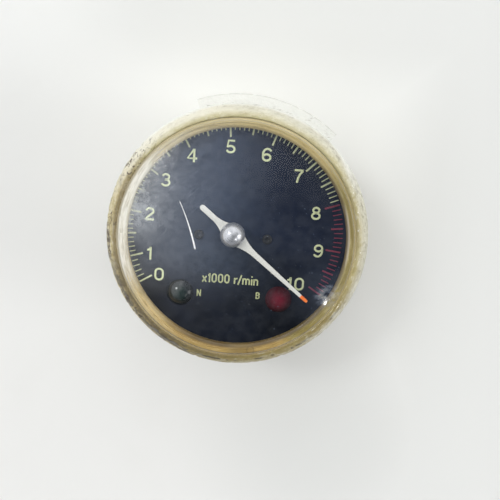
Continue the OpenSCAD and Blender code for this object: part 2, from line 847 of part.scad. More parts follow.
// Arbor, drag cup and pointer, which turn together

module arbor() {
    color("#9fa3a8") translate([0, 0, arbor_z])
        cylinder(r = arbor_r, h = pointer_top + collar_h + 0.4 - arbor_z);
}

module drag_cup() {
    color("#cfd2d4") translate([0, 0, drag_z]) difference() {
        cylinder(r = drag_cup_r, h = drag_h);
        translate([0, 0, -eps]) cylinder(r = drag_cup_r - drag_wall, h = drag_h - drag_wall + eps);
        translate([0, 0, -eps]) cylinder(r = hub_spigot_r + 0.01, h = drag_h + 1);
    }
}

module cup_hub() {
    color("#c19a45") difference() {
        union() {
            translate([0, 0, drag_top - drag_wall]) cylinder(r = hub_spigot_r, h = drag_wall + 1);
            translate([0, 0, drag_top]) cylinder(r = cup_hub_r, h = cup_hub_h);
        }
        translate([0, 0, drag_top - 1]) cylinder(r = arbor_r + 0.01, h = 4);
    }
}

module spring_collet() {
    color("#c19a45") translate([0, 0, collet_z]) tube(collet_r, arbor_r + 0.01, collet_h);
}

module stop_arm() {
    color("#c19a45") rotate([0, 0, pointer_angle]) translate([0, 0, arm_z]) difference() {
        union() {
            cylinder(r = 1.9, h = arm_t + 0.8);
            translate([0, -arm_w / 2, 0]) cube([arm_reach, arm_w, arm_t]);
        }
        translate([0, 0, -eps]) cylinder(r = arbor_r + 0.01, h = arm_t + 1);
    }
}

module pointer_boss() {
    color("#c19a45") translate([0, 0, pointer_z - boss_h]) difference() {
        union() {
            cylinder(r = boss_r, h = boss_h);
            cylinder(r = collar_r, h = boss_h + pointer_t + collar_h);
        }
        translate([0, 0, -eps]) cylinder(r = arbor_r + 0.01, h = boss_h + pointer_t + collar_h + 0.2);
    }
}

// Half width of the blade and of the tail at a distance x from the axis
function fillet(x, end, bend) = x < end ? bend - sqrt(bend * bend - pow(end - x, 2)) : 0;
function blade_half(x) =
    (blade_w + (tip_w - blade_w) * (x - cap_r) / (pointer_reach - cap_r)) / 2
        + fillet(x, flare_x, flare_bend);
function tail_half(x) = tail_w / 2 + fillet(x, tail_flare_x, tail_bend);
hidden_x = 2.6;
blade_steps = 12;
tip_x = pointer_reach - tip_w / 2;
tail_x = tail_reach - tail_w / 2;
function even_steps(from, to) = [for (i = [0 : blade_steps]) from + (to - from) * i / blade_steps];
blade_xs = concat(even_steps(hidden_x, flare_x), [tip_x]);
tail_xs = concat(even_steps(hidden_x, tail_flare_x), [tail_x]);

module pointer_outline() {
    half = concat([for (x = blade_xs) [x, blade_half(x)]], arc_points([tip_x, 0], tip_w / 2, 75, 15, 4));
    tail = concat([for (x = tail_xs) [-x, tail_half(x)]], arc_points([-tail_x, 0], tail_w / 2, 105, 165, 4));
    polygon(concat(
        half,
        [for (i = [len(half) - 1 : -1 : 0]) [half[i][0], -half[i][1]]],
        [for (p = tail) [p[0], -p[1]]],
        [for (i = [len(tail) - 1 : -1 : 0]) tail[i]]));
}

module pointer() {
    color("#eceae2") rotate([0, 0, pointer_angle]) translate([0, 0, pointer_z])
        difference() {
            union() {
                linear_extrude(height = pointer_t) pointer_outline();
                cylinder(r = cap_r - 0.8, h = pointer_t);
            }
            translate([0, 0, -eps]) cylinder(r = collar_r + fit_gap, h = pointer_t + 2 * eps);
        }
}

module pointer_cap() {
    ball = (cap_r * cap_r + pow(cap_h - cap_skirt, 2)) / (2 * (cap_h - cap_skirt));
    color("#c3c4c6") translate([0, 0, pointer_top]) difference() {
        union() {
            cylinder(r = cap_r, h = cap_skirt);
            intersection() {
                translate([0, 0, cap_h - ball]) sphere(r = ball);
                translate([0, 0, cap_skirt - eps]) cylinder(r = cap_r, h = cap_h);
            }
        }
        translate([0, 0, -eps]) cylinder(r = cap_r - cap_wall, h = cap_skirt);
        translate([0, 0, -eps]) cylinder(r = collar_r + fit_gap, h = cap_h - cap_wall - 1.2);
    }
}

case_cup();
lens();
lens_seal();
reflector_ring();
dial_plate();
scale_marks();
redline_marks();
dial_screws();
dial_pillars();
neutral_jewel();
beam_jewel();
movement_frame();
frame_gasket();
frame_screws();
cable_neck();
neck_bush();
thrust_washer();
field_ring();
bridge_plate();
bridge_screws();
arbor_bush();
spring_stud();
stop_pins();
hairspring();
mounting_studs();
neutral_boot();
beam_boot();
left_lamp_boot();
right_lamp_boot();
neutral_socket();
beam_socket();
left_lamp_socket();
right_lamp_socket();
neutral_bulb();
beam_bulb();
left_lamp_bulb();
right_lamp_bulb();
input_shaft();
shaft_clip();
magnet_hub();
magnet();
pivot_bush();
arbor();
drag_cup();
cup_hub();
spring_collet();
stop_arm();
pointer_boss();
pointer();
pointer_cap();
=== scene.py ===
# Inner head of a motorcycle engine speed gauge: looks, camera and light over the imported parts.
# Sizes in the dictionaries are millimetres in the gauge's own frame, and angles are degrees from +X.
# Bare lengths in the finishes are metres, as Blender has them.
import math
import bmesh
import bpy
from mathutils import Matrix, Vector, noise


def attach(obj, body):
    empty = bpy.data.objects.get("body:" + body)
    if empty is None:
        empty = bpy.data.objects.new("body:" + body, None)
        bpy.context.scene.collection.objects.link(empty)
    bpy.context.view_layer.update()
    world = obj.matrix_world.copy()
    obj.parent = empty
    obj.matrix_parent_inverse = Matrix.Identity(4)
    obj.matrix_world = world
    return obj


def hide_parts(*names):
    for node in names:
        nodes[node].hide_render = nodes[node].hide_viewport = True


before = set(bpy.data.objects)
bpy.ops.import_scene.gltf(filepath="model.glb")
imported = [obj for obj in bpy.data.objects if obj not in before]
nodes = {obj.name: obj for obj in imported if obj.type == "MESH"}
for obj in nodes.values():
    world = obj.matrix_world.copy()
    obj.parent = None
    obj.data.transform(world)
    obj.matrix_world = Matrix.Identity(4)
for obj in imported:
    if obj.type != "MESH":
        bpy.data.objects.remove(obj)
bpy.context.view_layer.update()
mm = 0.001
near = 1e-6  # points this close, in metres, are one
caseAt = (1.3, -1.5)  # the case, lens and ring sit a little off the pointer's axis
dialTop = 36.0
print("frame loaded:", len(nodes), "nodes")


# A node socket that can be used like a number, and a material built with such sockets
class Wire:
    def __init__(self, finish, socket):
        self.finish = finish
        self.socket = socket

    def join(self, operation, *others):
        return self.finish.node("ShaderNodeMath", {"operation": operation}, dict(enumerate((self,) + others)))

    def __add__(self, other):
        return self.join("ADD", other)

    def __radd__(self, other):
        return self.join("ADD", other)

    def __sub__(self, other):
        return self.join("SUBTRACT", other)

    def __rsub__(self, other):
        return self.finish.node("ShaderNodeMath", {"operation": "SUBTRACT"}, {0: other, 1: self})

    def __mul__(self, other):
        return self.join("MULTIPLY", other)

    def __rmul__(self, other):
        return self.join("MULTIPLY", other)

    def __pow__(self, other):
        return self.join("POWER", other)


class Finish:
    def __init__(self, name, owner=None, place="Object"):
        self.material = owner or bpy.data.materials.new(name)
        self.material.use_nodes = True
        self.tree = self.material.node_tree
        self.tree.nodes.clear()
        self.place = self.node("ShaderNodeTexCoord", out=place)
        split = self.tree.nodes.new("ShaderNodeSeparateXYZ")
        self.tree.links.new(self.place.socket, split.inputs[0])
        self.x, self.y, self.z = [Wire(self, split.outputs[i]) for i in range(3)]

    def node(self, kind, settings=None, inputs=None, out=0):  # colours come as values or as codes
        made = self.tree.nodes.new(kind)
        for key, value in (settings or {}).items():
            setattr(made, key, value)
        for key, value in (inputs or {}).items():
            if isinstance(value, Wire):
                self.tree.links.new(value.socket, made.inputs[key])
            else:
                made.inputs[key].default_value = rgb(value) if isinstance(value, str) else value
        return Wire(self, made.outputs[out])

    def cloud(self, scale, detail=3, rough=0.55, twist=0.0, place=None):
        return self.node("ShaderNodeTexNoise", None, {"Vector": place or self.place, "Scale": scale,
                         "Detail": detail, "Roughness": rough, "Distortion": twist})

    def cells(self, scale):
        return self.node("ShaderNodeTexVoronoi", None, {"Vector": self.place, "Scale": scale})

    def vector(self, x, y, z):
        return self.node("ShaderNodeCombineXYZ", None, {0: x, 1: y, 2: z})

    def step(self, value, low, high, a=0.0, b=1.0):
        return self.node("ShaderNodeMapRange", {"interpolation_type": "SMOOTHSTEP"},
                         {"Value": value, "From Min": low, "From Max": high, "To Min": a, "To Max": b})

    def zone(self, value, edges):  # 0 before the first edge, 1 past the second, both in millimetres
        return self.step(value, edges[0] * mm, edges[1] * mm)

    def blend(self, factor, a, b):
        return self.node("ShaderNodeMix", {"data_type": "RGBA"}, {0: factor, 6: a, 7: b}, out=2)

    def radius(self, centre):
        x = self.x - centre[0] * mm
        y = self.y - centre[1] * mm
        return (x * x + y * y) ** 0.5

    def angle(self, centre):
        return (self.y - centre[1] * mm).join("ARCTAN2", self.x - centre[0] * mm)

    def toward(self, direction, inner, outer, centre=caseAt):  # 1 near a direction, 0 away from it
        facing = (self.angle(centre) - math.radians(direction)).join("COSINE")
        return self.step(facing, math.cos(math.radians(outer)), math.cos(math.radians(inner)))

    def bump(self, height, distance, strength):
        return self.node("ShaderNodeBump", None,
                         {"Height": height, "Distance": distance * mm, "Strength": strength})

    def surface(self, **inputs):
        names = {"colour": "Base Color", "rough": "Roughness", "metal": "Metallic", "coat": "Coat Weight",
                 "coatRough": "Coat Roughness", "alpha": "Alpha", "normal": "Normal",
                 "specular": "Specular IOR Level"}
        return self.node("ShaderNodeBsdfPrincipled", None, {names[k]: v for k, v in inputs.items()})

    def mixed(self, factor, a, b):
        return self.node("ShaderNodeMixShader", None, {0: factor, 1: a, 2: b})

    def done(self, shader, kind="ShaderNodeOutputMaterial"):
        end = self.tree.nodes.new(kind)
        self.tree.links.new(shader.socket, end.inputs["Surface"])
        return self.material


def rgb(code):
    parts = [int(code[i:i + 2], 16) / 255 for i in (1, 3, 5)]
    return tuple(c / 12.92 if c <= 0.04045 else ((c + 0.055) / 1.055) ** 2.4 for c in parts) + (1.0,)


# Case plastic: a zone is the two radii between which a layer of dirt or bare plastic comes in
plastic = {
    "flank": (39.4, 42.5), "strip": (42.1, 42.6), "upper": (39.8, 41.2), "clumps": (40.4, 41.2),
    "seam": (40.1, 40.4), "seamEnd": (40.8, 41.1), "foot": (41.0, 42.2), "footEnd": (43.4, 44.4),
    "grey": (39.8, 41.6), "pale": (39.2, 40.8), "joint": (38.5, 39.3), "tab": (43.1, 43.4),
    "shore": (41.6, 42.8), "outline": (45.9, 46.3), "skirt": (30.0, 34.5),
}
plasticTones = {
    "inner": "#b3a671", "innerTop": "#c4bb8c", "innerBelow": "#84743f", "innerLeft": "#94804f",
    "outer": "#c4c0aa", "outerTop": "#cfccb9", "outerBelow": "#aa9b6a", "outerLeft": "#c6b98c",
    "olive": "#9a8b50", "cream": "#e1ddc8", "brown": "#6b5b33", "strip": "#e3dabb", "upper": "#e3dfcd",
    "fleck": "#4a381d", "clump": "#3f2f17", "crust": "#3a2e18", "seam": "#2f2918", "grey": "#93907f",
    "pale": "#e3e2d6", "chip": "#fbfaf3", "speck": "#3a3020", "joint": "#6f6242", "clean": "#eaebe6",
    "scribble": "#71684c", "outline": "#8b8675", "skirt": "#b9ad8a",
}


def agedPlastic():
    f = Finish("agedPlastic")
    tone = plasticTones
    r = f.radius(caseAt)
    broad = f.cloud(60, 4, 0.6)
    mottle = f.cloud(620, 5, 0.72, 0.4)
    streak = f.cloud(1, 4, 0.68, 0.3, f.vector(r * 950, f.angle(caseAt) * 13, f.z * 500))
    left = f.toward(190, 26, 54)
    below = f.toward(270, 48, 84)
    top = f.toward(90, 34, 60)
    worn = f.toward(202, 45, 92)  # the dirty side, left and below
    onTab = f.zone(r, plastic["tab"])
    inner = f.blend(f.toward(92, 42, 78), tone["inner"], tone["innerTop"])
    inner = f.blend(below, inner, tone["innerBelow"])
    inner = f.blend(left, inner, tone["innerLeft"])
    outside = f.blend(f.toward(90, 50, 90), tone["outer"], tone["outerTop"])
    outside = f.blend(below, outside, tone["outerBelow"])
    outside = f.blend(left, outside, tone["outerLeft"])
    colour = f.blend(f.zone(r + broad * 0.0022, plastic["flank"]), inner, outside)
    # mottling: olive and cream patches everywhere, stronger on the dirty side and faint along the top
    mottled = f.step(mottle, 0.49, 0.59) * (worn * 0.4 + 0.4) * (1 - top * 0.65)
    colour = f.blend(mottled, colour, tone["olive"])
    colour = f.blend(f.step(streak, 0.52, 0.64) * 0.42, colour, tone["cream"])
    colour = f.blend(f.step(streak, 0.46, 0.34) * (worn * 0.5 + 0.22), colour, tone["brown"])
    # paler along the outer edge at the lower left, and over the upper left
    strip = f.zone(r + streak * 0.0008, plastic["strip"]) * f.toward(236, 44, 68)
    colour = f.blend(strip * 0.85, colour, tone["strip"])
    upper = f.toward(128, 18, 42) * f.zone(r + broad * 0.001, plastic["upper"])
    colour = f.blend(upper * 0.6, colour, tone["upper"])
    # brown flecks, crust, and a dark seam below
    flecks = f.step(f.cloud(520, 4, 0.7, 0.8), 0.55, 0.59) * f.step(f.cloud(130, 2), 0.36, 0.5)
    flecks = flecks * (f.toward(183, 34, 62) * 0.85 + worn * 0.25)
    colour = f.blend(flecks, colour, tone["fleck"])
    clumps = f.step(mottle, 0.44, 0.48) * f.toward(185, 6, 10) * f.zone(r, plastic["clumps"])
    colour = f.blend(clumps * 0.9, colour, tone["clump"])
    crust = f.step(streak + broad * 0.3, 0.60, 0.66) * f.toward(226, 22, 38) * (1 - strip)
    colour = f.blend(crust * 0.8, colour, tone["crust"])
    wavy = r + streak * 0.0008
    seam = f.zone(wavy, plastic["seam"]) * (1 - f.zone(wavy, plastic["seamEnd"]))
    seam = seam * f.step(f.cloud(95, 3, 0.7), 0.46, 0.52) * f.toward(276, 42, 60)
    colour = f.blend(seam * 0.85, colour, tone["seam"])
    # grey blotches and a pale stretch on the right, and small painted glints there
    grey = f.step(mottle, 0.50, 0.62) * f.toward(8, 34, 56) * f.zone(r, plastic["grey"]) * 0.7
    colour = f.blend(grey, colour, tone["grey"])
    pale = f.toward(324, 12, 26) * f.zone(r, plastic["pale"]) * f.step(streak, 0.35, 0.6)
    colour = f.blend(pale * 0.55, colour, tone["pale"])
    paintedGlints = f.step(f.cells(900), 0.22, 0.12) * f.toward(12, 14, 24) * f.step(f.cloud(240, 2), 0.5, 0.56)
    colour = f.blend(paintedGlints, colour, tone["chip"])
    specks = f.step(f.cells(700), 0.20, 0.10) * f.step(f.cloud(300, 1), 0.50, 0.58)
    specks = specks * (worn * 0.7 + 0.18)
    colour = f.blend(specks, colour, tone["speck"])
    # dirt in the joint round the lens
    joint = 1 - f.zone(r - f.toward(205, 45, 95) * 0.0007, plastic["joint"])
    joint = joint * (f.toward(210, 40, 76) * 0.5 + f.toward(25, 15, 40) * 0.35 + 0.08)
    colour = f.blend(joint, colour, tone["joint"])
    # the tab and the outermost edge are paler towards the top, with scribbled dirt at the tab's foot
    clean = onTab * (f.toward(75, 50, 95) * 0.75 + 0.1)
    shore = f.zone(r + broad * 0.0024 - top * 0.0014, plastic["shore"])
    clean = clean.join("MAXIMUM", shore * f.toward(84, 40, 62) * 0.7)
    colour = f.blend(clean, colour, tone["clean"])
    foot = f.zone(r, plastic["foot"]) * (1 - f.zone(r, plastic["footEnd"]))
    scribble = f.cloud(1, 4, 0.7, 0.5, f.vector(f.x * 520, f.y * 1300, f.z * 300))
    marks = f.toward(96, 18, 34) * foot * 0.55 + f.toward(57, 4, 9) * 0.4
    colour = f.blend(marks * f.step(scribble, 0.53, 0.68), colour, tone["scribble"])
    colour = f.blend(f.zone(r, plastic["outline"]) * 0.35, colour, tone["outline"])
    # skirt, groove and back stay duller
    skirt = (1 - f.zone(f.z, plastic["skirt"])) * f.step(broad, 0.3, 0.7) * 0.5 * (1 - onTab)
    colour = f.blend(skirt, colour, tone["skirt"])
    rough = f.step(f.cloud(90, 3), 0.35, 0.65, 0.28, 0.5)
    lumps = f.bump(mottle + streak * 0.6 - specks * 0.6, 0.5, 0.7)
    return f.done(f.surface(colour=colour, rough=rough, coat=0.3, coatRough=0.12, normal=lumps))


# Lens: haze with a painted reflection of the room, painted glare, scuffs and scratches lie on the clear
# plastic as a thin pale film
film = {
    "glare": (33.3, 35.7), "glareEnd": (37.1, 37.9), "edge": (37.0, 37.5),
    "scuffAt": (32.2, -16.7), "scuff": (0.8, 5.2), "scuffHaze": (4.0, 13.0),
    "dullAt": (-18.5, 26), "hairsFrom": (16, -14), "hairs": (8.0, 26.0), "hairsEnd": (30.0, 34.0),
}
filmTones = {
    "blue": "#c5daff", "milk": "#f5faff", "bright": "#eeefea", "scratch": "#ffffff",
    "edge": "#b4a46f", "edgeTop": "#d0c296", "edgeBelow": "#97875a",
}
scratch = {"centre": (-73.51, -20.57), "r": 64.62, "low": 14.65, "high": 28.7}


# Haze with a painted reflection of the room on the lens
def lensHazeAndReflection(f):  # deepest at the left edge, fading to the right and below
    blotch = f.cloud(110, 4, 0.6, 0.5)
    x = f.x + blotch * 0.005 - 0.0025
    low = f.step(f.y, -0.023, -0.010, 0.08, 1.0) * f.step(f.y, 0.004, 0.030, 1.0, 1.1)
    edgeward = f.step(x, -0.010, -0.024) * 0.09 + f.step(x, -0.021, -0.029) * 0.14
    haze = (f.step(x, 0.018, -0.014) * 0.052 + 0.008 + edgeward * f.step(f.y, -0.008, 0.007)) * low
    grain = f.step(f.cloud(480, 4, 0.75), 0.32, 0.68, 0.7, 1.3)
    return haze * f.step(blotch, 0.3, 0.7, 0.85, 1.15) * grain


def lensScratch(f):  # one long curved scratch left of the middle
    low = scratch["low"]
    high = scratch["high"]
    along = f.angle(scratch["centre"])
    off = (f.radius(scratch["centre"]) - scratch["r"] * mm).join("ABSOLUTE")
    width = f.step(along, math.radians(low), math.radians(high), 0.00025, 0.00008)
    line = 1 - f.step(off - width + f.cloud(1400, 2) * 0.00008, -0.00002, 0.00010)
    ends = f.step(along, math.radians(low - 0.4), math.radians(low + 0.4))
    ends = ends * (1 - f.step(along, math.radians(high - 0.8), math.radians(high)))
    return line * ends * f.step(f.cloud(900, 2), 0.25, 0.5, 0.7, 1.0)


def lensHairs(f, r):  # fine hairlines over the upper left
    hairs = f.cloud(1, 2, 0.5, 0.1, f.vector((f.x + f.y) * 90, (f.x - f.y) * 2600, 0.5))
    hairs = f.step(hairs, 0.60, 0.72) * f.toward(146, 14, 36, film["hairsFrom"])
    return hairs * f.zone(f.y - f.x, film["hairs"]) * (1 - f.zone(r, film["hairsEnd"])) * 0.085


def clearLens(name, filmed):
    f = Finish(name)
    tone = filmTones
    clear = f.node("ShaderNodeBsdfTransparent", None, {"Color": (0.985, 0.99, 0.98, 1)})
    if not filmed:
        faint = f.step(f.cloud(300, 2), 0.3, 0.7, 0.0, 0.012)
        return f.done(f.mixed(faint, clear, f.surface(colour="#e3e7ea", rough=0.6)))
    gloss = f.node("ShaderNodeFresnel", None, {"IOR": 1.25})
    gloss = gloss * f.step(f.radius(film["dullAt"]), 0.003, 0.009, 0.25, 1.0)
    glass = f.mixed(gloss, clear, f.surface(colour="#ffffff", metal=1.0, rough=0.06))
    r = f.radius(caseAt)
    streaks = f.cloud(1, 4, 0.65, 0.2, f.vector(r * 1500, f.angle(caseAt) * 7, 0.7))
    glare = f.toward(169, 20, 46) * f.zone(r, film["glare"]) * (1 - f.zone(r, film["glareEnd"]) * 0.7)
    glare = glare * f.step(streaks, 0.32, 0.64, 0.42, 0.76)
    edge = f.zone(r, film["edge"])
    veil = f.step(f.cloud(55, 4, 0.6, 0.4), 0.45, 0.75) * 0.008
    # a scuffed patch low on the right, streaked along the rim, with a weak haze round it
    dx = (f.x - film["scuffAt"][0] * mm) * 0.75
    dy = f.y - film["scuffAt"][1] * mm
    away = (dx * dx + dy * dy) ** 0.5
    rubbed = f.cloud(1, 3, 0.6, 0.3, f.vector(f.x * 320, f.y * 620, 0.3))
    scuff = (1 - f.zone(away, film["scuff"])) * f.step(rubbed, 0.34, 0.74) * 0.34
    haze = lensHazeAndReflection(f) + (1 - f.zone(away, film["scuffHaze"])) * 0.02
    line = lensScratch(f)
    dust = (1 - f.step(f.cells(850), 0.05, 0.11)) * f.step(f.cloud(260, 1), 0.56, 0.6) * 0.5
    bright = scuff.join("MAXIMUM", line).join("MAXIMUM", glare)
    mask = (haze + veil + lensHairs(f, r) + dust * 0.6).join("MAXIMUM", bright)
    mask = mask.join("MAXIMUM", edge * 0.5).join("MINIMUM", 0.95)
    # painted reflection of the room as a bluish film, with milkier haze towards the left edge
    shade = f.blend(f.step(f.x, 0.0, -0.028), tone["blue"], tone["milk"])
    shade = f.blend(f.step(bright, 0.0, 0.3), shade, tone["bright"])
    shade = f.blend(line, shade, tone["scratch"])
    # painted light and shade: a tan sheet on the lens's rounded edge stands in for the ring seen through it,
    # lighter at the top, darker at the lower left
    rimward = f.blend(f.toward(92, 30, 56), tone["edge"], tone["edgeTop"])
    rimward = f.blend(f.toward(228, 55, 110), rimward, tone["edgeBelow"])
    shade = f.blend(edge * (1 - glare), shade, rimward)
    return f.done(f.mixed(mask, glass, f.surface(colour=shade, rough=0.55)))


# Ring under the lens: turned streaks, painted as lit from the upper left, with painted shade on its inner
# edge, along its outer edge and on its shoulder at the top
tan = {
    "shine": (35.8, 36.1), "shineEnd": (36.6, 36.2), "outer": (37.15, 37.4), "inside": (36.8, 35.5),
    "shoulder": (36.4, 37.1), "markAt": (8.4, -38.1), "markR": 1.15,
}
tanTones = {
    "base": "#96874b", "upperLeft": "#e6d6a8", "top": "#dec98b", "below": "#bf9d5c",
    "lowerLeft": "#dcc696", "light": "#e4d8ac", "dark": "#7d6c3c", "patch": "#cdbb86",
    "shine": "#f7ead6", "outer": "#8f7a4c", "shoulder": "#8f8050", "inside": "#4c3b1b",
    "blotch": "#7d683a", "mark": "#5d4a28",
}


def tanRing(name, dirt=0.0):
    f = Finish(name)
    tone = tanTones
    r = f.radius(caseAt)
    streaks = f.cloud(1, 4, 0.65, 0.2, f.vector(r * 1500, f.angle(caseAt) * 7, f.z * 900))
    broad = f.cloud(70, 3)
    colour = f.blend(f.toward(132, 34, 76), tone["base"], tone["upperLeft"])
    colour = f.blend(f.toward(78, 24, 52), colour, tone["top"])
    colour = f.blend(f.toward(257, 38, 48) * 0.8, colour, tone["below"])
    colour = f.blend(f.toward(207, 12, 32) * 0.75, colour, tone["lowerLeft"])
    colour = f.blend(f.step(streaks, 0.5, 0.66) * 0.3, colour, tone["light"])
    colour = f.blend(f.step(streaks, 0.47, 0.34) * 0.45, colour, tone["dark"])
    colour = f.blend(f.step(broad, 0.45, 0.7) * 0.2, colour, tone["patch"])
    shine = f.zone(r + streaks * 0.0004, tan["shine"]) * f.zone(r, tan["shineEnd"]) * f.toward(6, 8, 18)
    colour = f.blend(shine * 0.6, colour, tone["shine"])
    # painted shade along the outer edge next to the case, and on the shoulder at the top; the dirt share
    # darkens the seal all over
    colour = f.blend(f.zone(r, tan["outer"]) * 0.15 + dirt * 0.2, colour, tone["outer"])
    colour = f.blend(f.zone(r, tan["shoulder"]) * f.toward(85, 45, 75) * 0.3, colour, tone["shoulder"])
    # painted shade on the inner edge, weaker at the top and on the left
    inside = f.zone(r - f.toward(282, 34, 62) * 0.0004, tan["inside"])
    inside = inside * (1.0 - f.toward(88, 22, 56) * 0.4) * (1 - f.toward(180, 45, 75) * 0.5)
    colour = f.blend(inside * 0.9, colour, tone["inside"])
    colour = f.blend(f.toward(276.5, 3, 8) * 0.6, colour, tone["blotch"])
    # one round moulding mark low on the right of the middle
    mark = (f.radius(tan["markAt"]) * 1000 - tan["markR"]).join("ABSOLUTE")
    colour = f.blend(f.step(mark, 0.35, 0.1) * 0.45, colour, tone["mark"])
    rough = f.step(streaks, 0.3, 0.7, 0.32, 0.55)
    return f.done(f.surface(colour=colour, rough=rough, normal=f.bump(streaks + broad, 0.12, 0.5)))


dialTones = {
    "dark": "#080d16", "navy": "#0d1421", "upper": "#162038", "dusty": "#4a5066", "film": "#4f5a6b",
    "grain": "#666b7c", "speck": "#8d8e92",
}


def dialPaint():
    f = Finish("dialPaint")
    tone = dialTones
    broad = f.cloud(42, 4, 0.6, 0.3)
    grain = f.cloud(1500, 3, 0.7)
    colour = f.blend(f.step(broad, 0.35, 0.68), tone["dark"], tone["navy"])
    # painted light: the dial is lighter towards the top
    colour = f.blend(f.toward(75, 60, 140, (0, 0)) * 0.5, colour, tone["upper"])
    # painted reflection: the dial is lighter and cloudy towards the left
    dusty = f.toward(165, 40, 120, (0, 0)) * f.step(broad, 0.3, 0.7)
    colour = f.blend(dusty * 0.2, colour, tone["dusty"])
    # painted reflection of the room, shaped like the lens's haze
    paintedReflection = f.step(f.x + broad * 0.005 - 0.0025, 0.018, -0.014) * f.step(f.y, -0.021, -0.006)
    colour = f.blend(paintedReflection * 0.32, colour, tone["film"])
    colour = f.blend(f.step(grain, 0.55, 0.8) * 0.08, colour, tone["grain"])
    specks = (1 - f.step(f.cells(700), 0.04, 0.10)) * f.step(f.cloud(220, 1), 0.54, 0.6)
    colour = f.blend(specks * 0.4, colour, tone["speck"])
    rough = f.step(broad, 0.3, 0.7, 0.42, 0.6)
    return f.done(f.surface(colour=colour, rough=rough, specular=0.12, normal=f.bump(grain, 0.002, 0.3)))


def paint(name, colour, worn, rough=0.6, duller=None):
    f = Finish(name)
    broad = f.cloud(320, 3)
    grain = f.cloud(2400, 2)
    shade = f.blend(f.step(broad, 0.4, 0.75) * 0.6, colour, worn)
    shade = f.blend(f.step(grain, 0.5, 0.75) * 0.25, shade, worn)
    if duller:  # the print is duller towards the right
        shade = f.blend(f.step(f.x, -0.006, 0.022) * 0.6, shade, duller)
    return f.done(f.surface(colour=shade, rough=rough, normal=f.bump(grain, 0.03, 0.6)))


def pointerPaint(angle, tipFrom):
    f = Finish("pointerPaint")
    turn = math.radians(angle)
    along = f.x * math.cos(turn) + f.y * math.sin(turn)
    grain = f.cloud(900, 3)
    tip = f.zone(along + grain * 0.0003, (tipFrom - 0.1, tipFrom + 0.35))
    white = f.blend(f.step(grain, 0.5, 0.8) * 0.35, "#dad9d3", "#c9c6bc")
    white = f.blend(f.step(f.cloud(190, 3), 0.5, 0.7) * 0.25, white, "#dbd7cb")
    orange = f.blend(f.step(grain, 0.4, 0.7), "#f26a12", "#fb8a2c")
    colour = f.blend(tip, white, orange)
    return f.done(f.surface(colour=colour, rough=0.42, coat=0.15, normal=f.bump(grain, 0.03, 0.5)))


def jewelPlastic(name, deep, light, centre, gloss):
    f = Finish(name)
    polished = 1 - f.zone(f.x, (centre[0] + 0.3, centre[0] + 1.3))
    stir = f.cloud(260, 3)
    colour = f.blend(f.step(f.radius(centre) + stir * 0.001, 0.0012, 0.0046), light, deep)
    haze = f.step(f.cloud(700, 3), 0.5, 0.8) * 0.06
    colour = f.blend(haze, colour, "#7d7f83")
    rough = f.step(stir, 0.3, 0.7, 0.08, 0.2) + (1 - gloss) * 0.4
    return f.done(f.surface(colour=colour, rough=rough, coat=(polished * 0.85 + 0.15) * gloss,
                            coatRough=0.11, specular=0.1, normal=f.bump(stir, 0.05, 0.3)))


def metal(name, colour, stain, low=0.25, high=0.5, dirt=0.5):
    f = Finish(name)
    broad = f.cloud(150, 4, 0.6)
    fine = f.cloud(1300, 3, 0.6)
    shade = f.blend(f.step(broad, 0.42, 0.7) * dirt, colour, stain)
    shade = f.blend(f.step(fine, 0.55, 0.8) * dirt * 0.5, shade, stain)
    rough = f.step(broad, 0.3, 0.7, low, high)
    bare = f.step(broad, 0.6, 0.8, 1.0, 1.0 - dirt * 0.5)
    return f.done(f.surface(colour=shade, metal=bare, rough=rough, normal=f.bump(fine, 0.03, 0.5)))


def turnedMetal(name, colour, stain, rough):
    f = Finish(name)
    rings = f.cloud(1, 3, 0.6, 0, f.vector(f.radius((0, 0)) * 5200, f.angle((0, 0)) * 0.6, 0.0))
    shade = f.blend(f.step(f.cloud(380, 3), 0.45, 0.75) * 0.4, colour, stain)
    level = f.step(rings, 0.3, 0.7, rough * 0.7, rough * 1.6)
    return f.done(f.surface(colour=shade, metal=0.72, rough=level, normal=f.bump(rings, 0.01, 0.35)))


def rubber(name, colour, dusty):
    f = Finish(name)
    broad = f.cloud(140, 4)
    shade = f.blend(f.step(broad, 0.45, 0.75) * 0.45, colour, dusty)
    rough = f.step(broad, 0.3, 0.7, 0.6, 0.8)
    return f.done(f.surface(colour=shade, rough=rough, normal=f.bump(f.cloud(1600, 3), 0.05, 0.6)))


def bulbGlass():
    f = Finish("bulbGlass")
    smoke = f.cloud(300, 3)
    colour = f.blend(f.step(smoke, 0.45, 0.7) * 0.4, "#dfe2e0", "#a79f8d")
    return f.done(f.surface(colour=colour, rough=0.08, alpha=f.step(smoke, 0.3, 0.7, 0.35, 0.6)))


